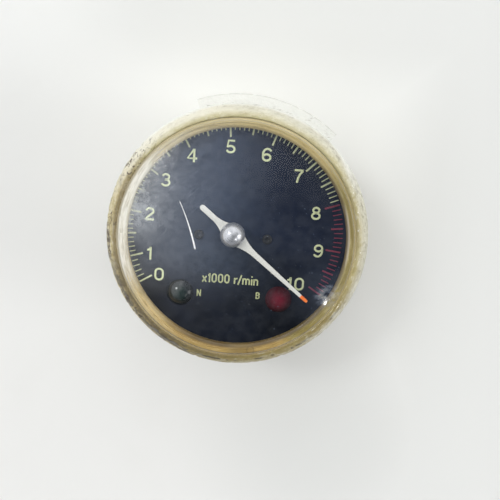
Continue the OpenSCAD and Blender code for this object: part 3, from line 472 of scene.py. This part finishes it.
finishes = {
    "plastic": agedPlastic(),
    "lens": clearLens("clearLens", True),
    "lensUnder": clearLens("clearLensUnder", False),
    "ring": tanRing("tanRing"),
    "seal": tanRing("sealFoam", 0.3),
    "dial": dialPaint(),
    "scale": paint("scalePrint", "#dde2b8", "#bcc096", duller="#9da27c"),
    "red": paint("redPrint", "#741b36", "#561428"),
    "numbers": paint("numberPrint", "#dde4b8", "#c6cca2", duller="#aaaf86"),
    "legends": paint("legendPrint", "#b9bd8c", "#9a9f75"),
    "black": paint("blackScrew", "#070708", "#1b1916", 0.4),
    "brass": metal("brass", "#b08d4a", "#6e5a33"),
    "casting": metal("dieCasting", "#9b9c9c", "#6f6f6c", 0.4, 0.6),
    "plated": metal("platedSteel", "#a9a79d", "#7a6a4e"),
    "steel": metal("steel", "#9a9da1", "#6d6a64", 0.2, 0.4, 0.3),
    "iron": metal("magnetIron", "#4c4d50", "#2e2d2c", 0.45, 0.65),
    "aluminium": metal("aluminium", "#cfd1d3", "#a0a1a0", 0.25, 0.4, 0.3),
    "rubber": rubber("blackRubber", "#202020", "#4b4842"),
    "glass": bulbGlass(),
    "pointer": pointerPaint(angle=-38.4, tipFrom=30.0),
    "cap": turnedMetal("brightCap", "#bebfc4", "#98989b", 0.27),
    "green": jewelPlastic("greenJewel", "#010505", "#05201b", (-16.61, -21.41), 1.0),
    "garnet": jewelPlastic("redJewel", "#350812", "#5e1023", (16.61, -21.41), 0.0),
}
print("finishes made:", len(finishes))


# Helpers for the shapes
def bow(x, y, rx, ry, start, end, steps=14):
    turns = [math.radians(start + (end - start) * i / steps) for i in range(steps + 1)]
    return [(x + rx * math.cos(t), y + ry * math.sin(t)) for t in turns]


def arc(centre, radius, start, end, steps):
    return bow(*centre, radius, radius, start, end, steps)


def spun(profile, steps, centre=(0, 0), start=0, sweep=360):
    bm = bmesh.new()
    verts = [bm.verts.new((r * mm, 0, z * mm)) for r, z in profile]
    edges = [bm.edges.new(pair) for pair in zip(verts, verts[1:])]
    bmesh.ops.rotate(bm, verts=verts, cent=(0, 0, 0), matrix=Matrix.Rotation(math.radians(start), 3, "Z"))
    bmesh.ops.spin(bm, geom=verts + edges, cent=(0, 0, 0), axis=(0, 0, 1), angle=math.radians(sweep),
                   steps=steps, use_merge=sweep == 360)
    bmesh.ops.remove_doubles(bm, verts=bm.verts, dist=near)
    bmesh.ops.translate(bm, verts=bm.verts, vec=(centre[0] * mm, centre[1] * mm, 0))
    return bm


def piece(name, bm, looks, body, replaced=(), smooth=32):
    bmesh.ops.recalc_face_normals(bm, faces=bm.faces)
    mesh = bpy.data.meshes.new(name)
    bm.to_mesh(mesh)
    bm.free()
    for look in looks:
        mesh.materials.append(finishes[look])
    mesh.shade_smooth()
    mesh.set_sharp_from_angle(angle=math.radians(smooth))
    made = bpy.data.objects.new(name, mesh)
    bpy.context.scene.collection.objects.link(made)
    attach(made, body)
    if replaced:
        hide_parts(*replaced)
    return made


def openEdges(bm):
    return [e for e in bm.edges if e.is_boundary]


# Case: the section starts on the back face, runs up the outside, over the rim and down to the floor
case = {
    "backR": 39.0, "backRound": 3.0, "backEdge": 34.5, "sideR": 40.0, "draft": 0.6, "draftZ": 22,
    "grooveZ": 32.9, "grooveR": 41.5, "bevel": 0.4, "skirtZ": 30.5, "hem": 0.5, "hemZ": 32.2, "rimR": 43.3,
    "rimZ": 34.0, "lipR": 38.8, "lipRound": 0.3, "top": 42.6, "pocketR": 38.3, "pocketZ": 41.0,
    "ringBore": 37.7, "dialBore": 37.2, "floorR": 36.2, "floorZ": 2.6, "innerRound": 2.0,
    "floorEdge": 33.0, "neckHole": 8.2, "steps": 420,
}


def caseProfile(c):
    bevel = c["bevel"]
    hem = c["hem"]
    lip = c["lipRound"]
    inner = c["innerRound"]
    back = arc((c["backR"] - c["backRound"], c["backRound"]), c["backRound"], -90, 0, 8)
    side = [(c["sideR"] - c["draft"], c["draftZ"]), (c["sideR"], c["grooveZ"] - bevel),
            (c["sideR"] + bevel, c["grooveZ"])]
    groove = [(c["grooveR"] - bevel, c["grooveZ"]), (c["grooveR"], c["grooveZ"] - bevel)]
    skirt = arc((c["grooveR"] + bevel, c["skirtZ"] + bevel), bevel, 180, 270, 3)
    skirt += arc((c["rimR"] - hem, c["skirtZ"] + hem), hem, 270, 360, 4)
    shoulder = bow(c["lipR"], c["rimZ"], c["rimR"] - c["lipR"], c["top"] - c["rimZ"], 0, 90, 18)[:-1]
    pocket = arc((c["pocketR"] + lip, c["top"] - lip), lip, 90, 180, 4)
    pocket += [(c["pocketR"], c["pocketZ"]), (c["ringBore"], c["pocketZ"]), (c["ringBore"], dialTop)]
    well = [(c["dialBore"], dialTop), (c["floorR"], c["floorZ"] + inner)]
    well += arc((c["floorR"] - inner, c["floorZ"] + inner), inner, 0, -90, 4)
    return ([(c["backEdge"], 0)] + back + side + groove + skirt + [(c["rimR"], c["hemZ"])] + shoulder
            + pocket + well + [(c["floorEdge"], c["floorZ"])])


def extended(bm, edges, ratio, shift, rise=0.0):  # a loop scaled about the case's middle and moved
    made = bmesh.ops.extrude_edge_only(bm, edges=edges)["geom"]
    fresh = [g for g in made if isinstance(g, bmesh.types.BMVert)]
    about = Matrix.Translation((-caseAt[0] * mm, -caseAt[1] * mm, 0))
    bmesh.ops.scale(bm, verts=fresh, vec=(ratio, ratio, 1), space=about)
    bmesh.ops.translate(bm, verts=fresh, vec=(shift[0] * mm, shift[1] * mm, rise * mm))
    return [g for g in made if isinstance(g, bmesh.types.BMEdge) and g.is_boundary]


# The back wall runs in to the hole round the neck, which is not in the middle of the case
bm = spun(caseProfile(case), case["steps"], caseAt)
inward = case["neckHole"] / case["backEdge"]
outward = case["floorEdge"] / case["neckHole"]
loop = [e for e in openEdges(bm) if all(abs(v.co.z) < near for v in e.verts)]
loop = extended(bm, loop, inward, (-caseAt[0], -caseAt[1]))
loop = extended(bm, loop, 1.0, (0, 0), case["floorZ"])
loop = extended(bm, loop, outward, (caseAt[0] * outward, caseAt[1] * outward))
bmesh.ops.remove_doubles(bm, verts=bm.verts, dist=2 * near)
assert not openEdges(bm)  # the case has to be closed

# The rim is nibbled and lumpy, most of all on the left and below, and only ever inwards
wear = {
    "fromR": 38.95, "fullOver": 2.0, "fromZ": 29, "sinkZ": 34.5, "sink": 0.6,
    "at": 212, "reach": 112, "spread": 0.8, "least": 0.25, "more": 1.3,
    "nibble": 0.6, "nibbleFrom": 0.05, "lump": 0.26, "lumpAll": 0.4, "lumpWorn": 2,
    "coarse": (0.42, 0.35, 3.0), "small": (1.3, 1.1, 9.0),
}


def ripple(x, y, z, scale):  # noise with its scale across, its scale along Z and its start
    return noise.noise(Vector((x * scale[0], y * scale[0], z * scale[1] + scale[2])))


for v in bm.verts:
    x = v.co.x / mm - caseAt[0]
    y = v.co.y / mm - caseAt[1]
    z = v.co.z / mm
    r = math.hypot(x, y)
    if z < wear["fromZ"] or r < wear["fromR"]:
        continue
    away = math.degrees(math.atan2(y, x)) % 360 - wear["at"]
    worn = max(0.0, math.cos(math.radians(away * wear["spread"]))) if abs(away) < wear["reach"] else 0.0
    coarse = ripple(x, y, z, wear["coarse"])
    small = ripple(x, y, z, wear["small"])
    bite = max(0.0, coarse - wear["nibbleFrom"]) * (wear["least"] + wear["more"] * worn) * wear["nibble"]
    bite += max(0.0, small) * worn * wear["lump"] * wear["lumpWorn"]
    bite += abs(small) * wear["lump"] * wear["lumpAll"]
    side = min(1.0, (r - wear["fromR"]) / wear["fullOver"])
    v.co.x -= x / r * bite * side * mm
    v.co.y -= y / r * bite * side * mm
    if z > wear["sinkZ"]:
        v.co.z -= bite * wear["sink"] * side * mm
piece("housing", bm, ["plastic"], "gauge", ["case_cup"], smooth=50)

tab = {
    "inner": 42.3, "outer": 46.47, "low": 31.7, "high": 33.68, "round": 0.45, "start": 50, "sweep": 60,
    "steps": 72, "biteFrom": 45.5, "bite": 0.35, "ripple": (0.6, 0.0, 4.0),
}
crest = tab["outer"] - tab["round"]
section = [(tab["inner"], tab["low"])]
section += arc((crest, tab["low"] + tab["round"]), tab["round"], -90, 0, 4)
section += arc((crest, tab["high"] - tab["round"]), tab["round"], 0, 90, 4)
section += [(tab["inner"], tab["high"]), (tab["inner"], tab["low"])]
bm = spun(section, tab["steps"], caseAt, tab["start"], tab["sweep"])
bmesh.ops.holes_fill(bm, edges=openEdges(bm))
for v in bm.verts:
    x = v.co.x / mm - caseAt[0]
    y = v.co.y / mm - caseAt[1]
    r = math.hypot(x, y)
    if r > tab["biteFrom"]:
        bite = tab["bite"] * max(0.0, ripple(x, y, 0.0, tab["ripple"]))
        v.co.x -= x / r * bite * mm
        v.co.y -= y / r * bite * mm
piece("locatingTab", bm, ["plastic"], "gauge")
print("case made")


# Lens and the ring under it; the dome is a piece of a ball
lens = {
    "r": 38.1, "low": 41.62, "land": 44.2, "round": 0.9, "domeR": 35.5, "apex": 48.7, "wall": 2.2,
    "underR": 34.3, "footIn": 0.25, "footOut": 0.1, "footDrop": 0.02, "facesDown": -0.2,
    "steps": 256, "domeSteps": 26, "underSteps": 20, "roundSteps": 6,
}
rise = lens["apex"] - lens["land"]
ballR = (lens["domeR"] ** 2 + rise ** 2) / (2 * rise)
ballZ = lens["apex"] - ballR


def domeLine(ball, reach, steps):
    along = [reach * i / steps for i in range(steps + 1)]
    return [(r, ballZ + math.sqrt(ball ** 2 - r ** 2)) for r in along]


profile = domeLine(ballR, lens["domeR"] - lens["footIn"], lens["domeSteps"])
profile += [(lens["domeR"] + lens["footOut"], lens["land"] - lens["footDrop"])]
brim = (lens["r"] - lens["round"], lens["land"] - lens["round"])
profile += arc(brim, lens["round"], 90, 0, lens["roundSteps"])
profile += [(lens["r"], lens["low"]), (lens["underR"], lens["low"])]
profile += domeLine(ballR - lens["wall"], lens["underR"], lens["underSteps"])[::-1]
bm = spun(profile, lens["steps"], caseAt)
bmesh.ops.recalc_face_normals(bm, faces=bm.faces)
for face in bm.faces:
    if face.normal.z < lens["facesDown"]:
        face.material_index = 1
lensPiece = piece("lensDome", bm, ["lens", "lensUnder"], "gauge", ["lens"], smooth=25)
# Clear plastic: light passes to the dial and back out of it without being caught by the lens
lensPiece.visible_shadow = False
lensPiece.visible_diffuse = False
lensPiece.visible_glossy = False

ring = {
    "steps": 256,
    "profile": [(36.3, 36.0), (37.5, 36.0), (37.5, 40.7), (37.2, 40.98), (36.7, 40.94), (36.2, 40.82),
                (35.85, 40.7), (35.6, 40.56), (35.4, 40.38), (35.3, 40.15), (35.75, 39.4), (36.3, 39.4),
                (36.3, 36.0)],
}
bm = spun(ring["profile"], ring["steps"], caseAt)
piece("reflectorRing", bm, ["ring"], "gauge", ["reflector_ring"], smooth=40)
print("lens and ring made")


# Numbers and lamp letters: each has a width and its strokes, in units of its height
post = [(0.09, 0.0), (0.09, 1.0)]
stem = [(0.09, 0.0), (0.09, 0.68)]
six = [bow(0.30, 0.30, 0.19, 0.235, 0, 360), bow(0.33, 0.55, 0.22, 0.385, 35, 180) + [(0.11, 0.32)]]
glyphs = {
    "0": (0.64, [bow(0.30, 0.66, 0.195, 0.27, 0, 180) + bow(0.30, 0.34, 0.195, 0.27, 180, 360)
                 + [(0.495, 0.66)]]),
    "1": (0.40, [[(0.24, 0.0), (0.24, 1.0)], [(0.07, 0.75), (0.15, 0.78), (0.21, 0.86), (0.24, 0.97)]]),
    "2": (0.62, [bow(0.29, 0.71, 0.185, 0.22, 172, -32) + [(0.16, 0.22), (0.11, 0.07)],
                 [(0.055, 0.07), (0.5, 0.07)]]),
    "3": (0.62, [bow(0.28, 0.725, 0.165, 0.205, 165, -80) + [(0.23, 0.52)],
                 [(0.23, 0.52)] + bow(0.28, 0.295, 0.195, 0.225, 80, -165)]),
    "4": (0.62, [[(0.38, 0.97), (0.07, 0.29), (0.55, 0.29)], [(0.39, 0.0), (0.39, 1.0)]]),
    "5": (0.62, [[(0.48, 0.93), (0.17, 0.93), (0.12, 0.49)] + bow(0.28, 0.305, 0.2, 0.235, 132, -160)]),
    "6": (0.62, six),
    "7": (0.60, [[(0.06, 0.93), (0.50, 0.93)], [(0.49, 0.90), (0.35, 0.66), (0.26, 0.36), (0.22, 0.0)]]),
    "8": (0.62, [bow(0.29, 0.735, 0.155, 0.195, 0, 360), bow(0.29, 0.295, 0.195, 0.225, 0, 360)]),
    "9": (0.62, [[(0.60 - x, 1 - y) for x, y in line] for line in six]),
    "x": (0.52, [[(0.05, 0.0), (0.44, 0.66)], [(0.05, 0.66), (0.44, 0.0)]]),
    "r": (0.42, [stem, bow(0.33, 0.36, 0.24, 0.26, 165, 80, 6)]),
    "/": (0.42, [[(0.03, -0.06), (0.35, 1.02)]]),
    "m": (0.86, [stem, bow(0.25, 0.44, 0.16, 0.18, 150, 0, 8) + [(0.41, 0.0)],
                 bow(0.57, 0.44, 0.16, 0.18, 170, 0, 8) + [(0.73, 0.0)]]),
    "i": (0.26, [[(0.11, 0.0), (0.11, 0.66)], [(0.11, 0.84), (0.11, 0.99)]]),
    "n": (0.56, [stem, bow(0.26, 0.43, 0.17, 0.19, 150, 0, 8) + [(0.43, 0.0)]]),
    "N": (0.66, [post, [(0.09, 0.96), (0.51, 0.04)], [(0.51, 0.0), (0.51, 1.0)]]),
    "B": (0.62, [post, [(0.09, 0.93)] + bow(0.29, 0.735, 0.17, 0.195, 90, -90, 8) + [(0.09, 0.54)],
                 [(0.27, 0.54)] + bow(0.29, 0.305, 0.2, 0.235, 90, -90, 8) + [(0.09, 0.07)]]),
    " ": (0.34, []),
}
# A number has its angle and radius on the dial, a legend its place, height, width ratio and stroke
printing = {
    "stroke": 0.155, "height": 4.3, "wide": 1.5, "rise": 0.09, "lift": 0.005, "margin": 0.02,
    "numbers": [("0", 213.4, 28.7), ("1", 197.9, 28.9), ("2", 171.3, 28.2), ("3", 145.7, 27.9),
                ("4", 121.7, 28.4), ("5", 95.4, 28.0), ("6", 70.9, 27.6), ("7", 45.2, 28.2),
                ("8", 17.5, 27.9), ("9", 352.0, 28.7), ("10", 324.3, 26.9)],
    "legends": [("x1000 r/min", 0.0, -15.7, 3.1, 1.08, 0.165), ("N", -10.25, -21.15, 2.3, 1.1, 0.17),
                ("B", 9.6, -20.7, 2.3, 1.1, 0.17)],
}


def printed(name, words):
    bm = bmesh.new()
    for word, x, y, height, wide, stroke in words:
        half = stroke * height / 2 * mm
        sheet = bpy.data.curves.new(name, "CURVE")
        sheet.dimensions = "3D"
        sheet.bevel_depth = half
        sheet.bevel_resolution = 1
        sheet.use_fill_caps = True
        pen = -sum(glyphs[g][0] for g in word) / 2 + printing["margin"]
        for g in word:
            width, lines = glyphs[g]
            for line in lines:
                run = sheet.splines.new("POLY")
                run.points.add(len(line) - 1)
                for point, (px, py) in zip(run.points, line):
                    point.co = ((x + (pen + px) * wide * height) * mm, (y + (py - 0.5) * height) * mm, 0, 1)
            pen += width
        written = bpy.data.objects.new(name, sheet)
        bpy.context.scene.collection.objects.link(written)
        bpy.context.view_layer.update()
        flat = bpy.data.meshes.new_from_object(written.evaluated_get(bpy.context.evaluated_depsgraph_get()))
        bpy.data.objects.remove(written)
        flat.transform(Matrix.Scale(printing["rise"] * mm / half, 4, (0, 0, 1)))
        bm.from_mesh(flat)
    bmesh.ops.translate(bm, verts=bm.verts, vec=(0, 0, (dialTop + printing["lift"]) * mm))
    return bm


spots = []
for word, a, r in printing["numbers"]:
    x = r * math.cos(math.radians(a))
    y = r * math.sin(math.radians(a))
    spots.append((word, x, y, printing["height"], printing["wide"], printing["stroke"]))
piece("dialNumbers", printed("dialNumbers", spots), ["numbers"], "gauge")
piece("dialLegends", printed("dialLegends", printing["legends"]), ["legends"], "gauge")
print("numbers made")


# Pointer and its cap
soft = {"flat": 1.0, "sharp": 25, "segments": 2}


def softened(node, width):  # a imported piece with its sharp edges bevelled
    bm = bmesh.new()
    bm.from_mesh(nodes[node].data)
    bmesh.ops.remove_doubles(bm, verts=bm.verts, dist=2 * near)
    bmesh.ops.dissolve_limit(bm, angle_limit=math.radians(soft["flat"]), verts=bm.verts, edges=bm.edges)
    limit = math.radians(soft["sharp"])
    sharp = [e for e in bm.edges if len(e.link_faces) == 2 and e.calc_face_angle(0) > limit]
    bmesh.ops.bevel(bm, geom=sharp, offset=width * mm, offset_type="OFFSET", affect="EDGES",
                    segments=soft["segments"], profile=0.5, material=-1, clamp_overlap=True)
    return bm


piece("pointerBlade", softened("pointer", 0.1), ["pointer"], "indicator", ["pointer"])

cap = {
    "r": 4.0, "low": 40.8, "skirt": 0.8, "rise": 4.6, "wall": 0.6, "steps": 96,
    "edgeIn": 0.04, "edgeUp": 0.25, "edgeDown": 0.1, "chamfer": 0.12, "hollow": 0.2, "rows": 22,
}
bulge = cap["rise"] - cap["skirt"]
capBall = (cap["r"] ** 2 + bulge ** 2) / (2 * bulge)
capMiddle = cap["low"] + cap["rise"] - capBall
profile = []
for i in range(cap["rows"] - 1):
    r = cap["r"] * math.sin(math.radians(i * 90 / cap["rows"]))
    profile.append((r, capMiddle + capBall * math.cos(math.asin(r / capBall))))
seat = cap["low"] + cap["skirt"]
bore = cap["r"] - cap["wall"]
profile += [(cap["r"] - cap["edgeIn"], seat + cap["edgeUp"]), (cap["r"], seat - cap["edgeDown"]),
            (cap["r"], cap["low"] + cap["chamfer"]), (cap["r"] - cap["chamfer"], cap["low"]),
            (bore, cap["low"]), (bore, seat), (0, seat + cap["hollow"])]
bm = spun(profile, cap["steps"])
piece("pointerCap", bm, ["cap"], "indicator", ["pointer_cap"], smooth=45)
print("pointer made")


# Threads on the neck and the two studs: a tooth is spun upwards and fades out at both ends.
# Its corners lie at these shares of the pitch.
toothShares = (0.06, 0.44, 0.56, 0.94)


def threadRidge(bm, t, centre=(0, 0)):
    root = t["root"]
    height = t["crest"] - root
    tooth = zip((root, t["crest"], t["crest"], root), toothShares)
    first = [bm.verts.new((r * mm, 0, (t["low"] + share * t["pitch"]) * mm)) for r, share in tooth]
    edges = [bm.edges.new(pair) for pair in zip(first, first[1:])]
    before = set(bm.verts) - set(first)
    count = int(((t["high"] - t["low"]) / t["pitch"] - 1) * t["steps"])
    bmesh.ops.spin(bm, geom=first + edges, cent=(0, 0, 0), axis=(0, 0, 1), steps=count,
                   dvec=(0, 0, t["pitch"] * mm / t["steps"]), angle=2 * math.pi * count / t["steps"])
    for v in set(bm.verts) - before:
        r = math.hypot(v.co.x, v.co.y)
        z = v.co.z / mm
        depth = min(1.0, (z - t["low"]) / t["pitch"], (t["high"] - z) / t["pitch"])
        limit = (root + height * max(0.0, depth)) * mm
        if r > limit:
            v.co.x *= limit / r
            v.co.y *= limit / r
        v.co.x += centre[0] * mm
        v.co.y += centre[1] * mm


neck = {
    "crest": 5.97, "root": 5.45, "pitch": 1.0, "low": -10.8, "high": -1.5, "steps": 40,
    "around": 96,
    "profile": [(4.55, -11.0), (5.1, -11.0), (5.5, -10.65), (5.5, -1.6), (5.25, -1.35), (5.25, -0.85),
                (5.9, -0.7), (5.98, -0.6), (5.98, -0.02), (3.95, -0.02), (3.95, -4.6), (4.25, -4.6),
                (4.25, -10.7), (4.55, -11.0)],
}
bm = spun(neck["profile"], neck["around"])
threadRidge(bm, neck)
piece("threadedNeck", bm, ["plated"], "gauge", ["cable_neck"])

studs = {
    "x": 26.5, "crest": 2.49, "root": 2.05, "pitch": 0.8, "low": -13.9, "high": -0.3, "steps": 32,
    "around": 48,
    "profile": [(0, -14.0), (1.6, -14.0), (2.1, -13.5), (2.1, 1.0), (0, 1.0)],
}
pair = bmesh.new()
for x in (-studs["x"], studs["x"]):
    bm = spun(studs["profile"], studs["around"])
    bmesh.ops.translate(bm, verts=bm.verts, vec=(x * mm, 0, 0))
    threadRidge(bm, studs, (x, 0))
    part = bpy.data.meshes.new("part")
    bm.to_mesh(part)
    bm.free()
    pair.from_mesh(part)
piece("mountingStuds", pair, ["plated"], "gauge", ["mounting_studs"])
print("threads made")


# Small parts with softened edges: finish, slot and width of the bevel
lamps = ("neutral", "beam", "left_lamp", "right_lamp")
softParts = {
    "dial_screws": ("black", "black_screw", 0.12), "frame_screws": ("plated", "plated_steel", 0.2),
}
for lamp in lamps:
    softParts[lamp + "_boot"] = ("rubber", "black_rubber", 0.3)
for node, (look, slot, width) in softParts.items():
    joined = "".join(word.capitalize() for word in node.split("_"))
    piece(joined[0].lower() + joined[1:], softened(node, width), [look], "gauge", [node])

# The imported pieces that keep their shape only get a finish
looksOf = {
    "seal": ["lens_seal", "frame_gasket"], "dial": ["dial_plate"], "scale": ["scale_marks"],
    "red": ["redline_marks"], "casting": ["movement_frame"], "iron": ["magnet"], "aluminium": ["drag_cup"],
    "green": ["neutral_jewel"], "garnet": ["beam_jewel"],
    "steel": ["thrust_washer", "field_ring", "bridge_screws", "stop_pins", "input_shaft", "shaft_clip",
              "arbor"],
    "brass": ["dial_pillars", "neck_bush", "bridge_plate", "arbor_bush", "spring_stud", "hairspring",
              "magnet_hub", "pivot_bush", "cup_hub", "spring_collet", "stop_arm", "pointer_boss"],
    "glass": [],
}
for lamp in lamps:
    looksOf["brass"].append(lamp + "_socket")
    looksOf["glass"].append(lamp + "_bulb")
for look, names in looksOf.items():
    for name in names:
        nodes[name].data.materials.clear()
        nodes[name].data.materials.append(finishes[look])
print("finishes given")


# Floor: pale paper with painted light and shade: lighter towards the upper right, a little darker at the top,
# on the right and most of all at the lower right, where a soft shadow is painted
floor = {
    "z": -14.0, "cells": 2, "half": 1.6, "cornerAt": (46, -100), "corner": (12, 80), "back": (45, 75),
    "backFrom": (-95, -35), "right": (50, 85),
}


def floorFinish():
    f = Finish("floorPaper")
    # painted light: the paper is lighter towards the upper right
    tone = f.blend(f.step(f.x * 0.5 + f.y, -0.16, 0.10), "#ebebe8", "#f0f1ee")
    # painted shadow at the lower right, and painted shade along the top and on the right
    corner = 1 - f.zone(f.radius(floor["cornerAt"]), floor["corner"])
    back = f.zone(f.y, floor["back"]) * f.zone(f.x, floor["backFrom"]) * 0.65
    right = f.zone(f.x, floor["right"]) * 0.65
    tone = f.blend(corner.join("MAXIMUM", back).join("MAXIMUM", right), tone, "#dedfdc")
    tone = f.blend(f.step(f.cloud(30, 4), 0.5, 0.8) * 0.12, tone, "#e0dfda")
    return f.done(f.surface(colour=tone, rough=0.7, specular=0.2, normal=f.bump(f.cloud(500, 3), 0.03, 0.3)))


floorMesh = bpy.data.meshes.new("floor")
bm = bmesh.new()
bmesh.ops.create_grid(bm, x_segments=floor["cells"], y_segments=floor["cells"], size=floor["half"])
bmesh.ops.translate(bm, verts=bm.verts, vec=(0, 0, floor["z"] * mm))
bm.to_mesh(floorMesh)
bm.free()
floorMesh.materials.append(floorFinish())
floorPiece = bpy.data.objects.new("floor", floorMesh)
bpy.context.scene.collection.objects.link(floorPiece)

# Lights: away and size are metres, power is watts; glints are small and only show as highlights
lights = {
    "ceiling": {"toward": (0.10, 0.86, 0.50), "away": 1.5, "size": 0.9, "power": 1.0},
    "fill": {"toward": (0.88, -0.10, 0.42), "away": 1.8, "size": 0.7, "power": 9.0},
    "glintA": {"toward": (0.513, -0.456, 0.727), "away": 0.8, "size": 0.022, "power": 0.5, "glint": True},
    "glintB": {"toward": (0.560, -0.445, 0.699), "away": 0.8, "size": 0.018, "power": 0.3, "glint": True},
}
for name, setup in lights.items():
    light = bpy.data.lights.new(name, "AREA")
    light.size = setup["size"]
    light.energy = setup["power"]
    holder = bpy.data.objects.new(name, light)
    direction = Vector(setup["toward"]).normalized()
    holder.location = direction * setup["away"]
    holder.rotation_euler = direction.to_track_quat("Z", "Y").to_euler()
    holder.visible_diffuse = "glint" not in setup
    bpy.context.scene.collection.objects.link(holder)

# Room: a glow has its direction, the angles where it is full and where it ends, and what it adds
room = {
    "dark": 0.12, "bright": 1.405, "wall": (-0.65, 0.45), "lean": 0.8, "least": 0.02,
    "below": 0.42, "edge": 1.29, "ground": (-0.85, 0.05), "horizon": (0.36, 0.60),
    "glows": [((-0.50, 0.36, 0.79), 2, 8, 12), ((0.62, -0.22, 0.75), 6, 22, -0.9),
              ((0.16, -0.06, 0.985), 6, 26, -0.75)],
}
world = bpy.data.worlds.new("room")
f = Finish("room", world, "Generated")
level = f.step(f.y - f.x * room["lean"], *room["wall"], room["dark"], room["bright"])
ground = f.step(f.y, *room["ground"], room["below"], room["edge"])
level = level.join("MAXIMUM", ground * f.step(f.z, *room["horizon"], 1.0, 0.0))
for way, inner, outer, gain in room["glows"]:
    facing = f.x * way[0] + f.y * way[1] + f.z * way[2]
    glow = f.step(facing, math.cos(math.radians(outer)), math.cos(math.radians(inner)))
    level = (level + glow * gain).join("MAXIMUM", room["least"])
sky = f.node("ShaderNodeBackground", None, {"Color": (0.985, 0.99, 1.0, 1), "Strength": level})
f.done(sky, "ShaderNodeOutputWorld")
bpy.context.scene.world = world

shot = {
    "at": (7.28, 24.26, 210.26), "lens": 38.36, "sensor": 36, "clip": 0.01,
    "right": (0.99726, 0.07123, -0.02), "up": (-0.07357, 0.98331, -0.1664),
    "back": (0.00781, 0.16741, 0.98586),
}
camera = bpy.data.objects.new("camera", bpy.data.cameras.new("camera"))
camera.data.lens = shot["lens"]
camera.data.sensor_width = shot["sensor"]
camera.data.clip_start = shot["clip"]
columns = Matrix((shot["right"], shot["up"], shot["back"])).transposed()
camera.matrix_world = Matrix.Translation(Vector(shot["at"]) * mm) @ columns.to_4x4()
bpy.context.scene.collection.objects.link(camera)
bpy.context.scene.camera = camera
bpy.context.scene.view_settings.view_transform = "Standard"
print("stage set")
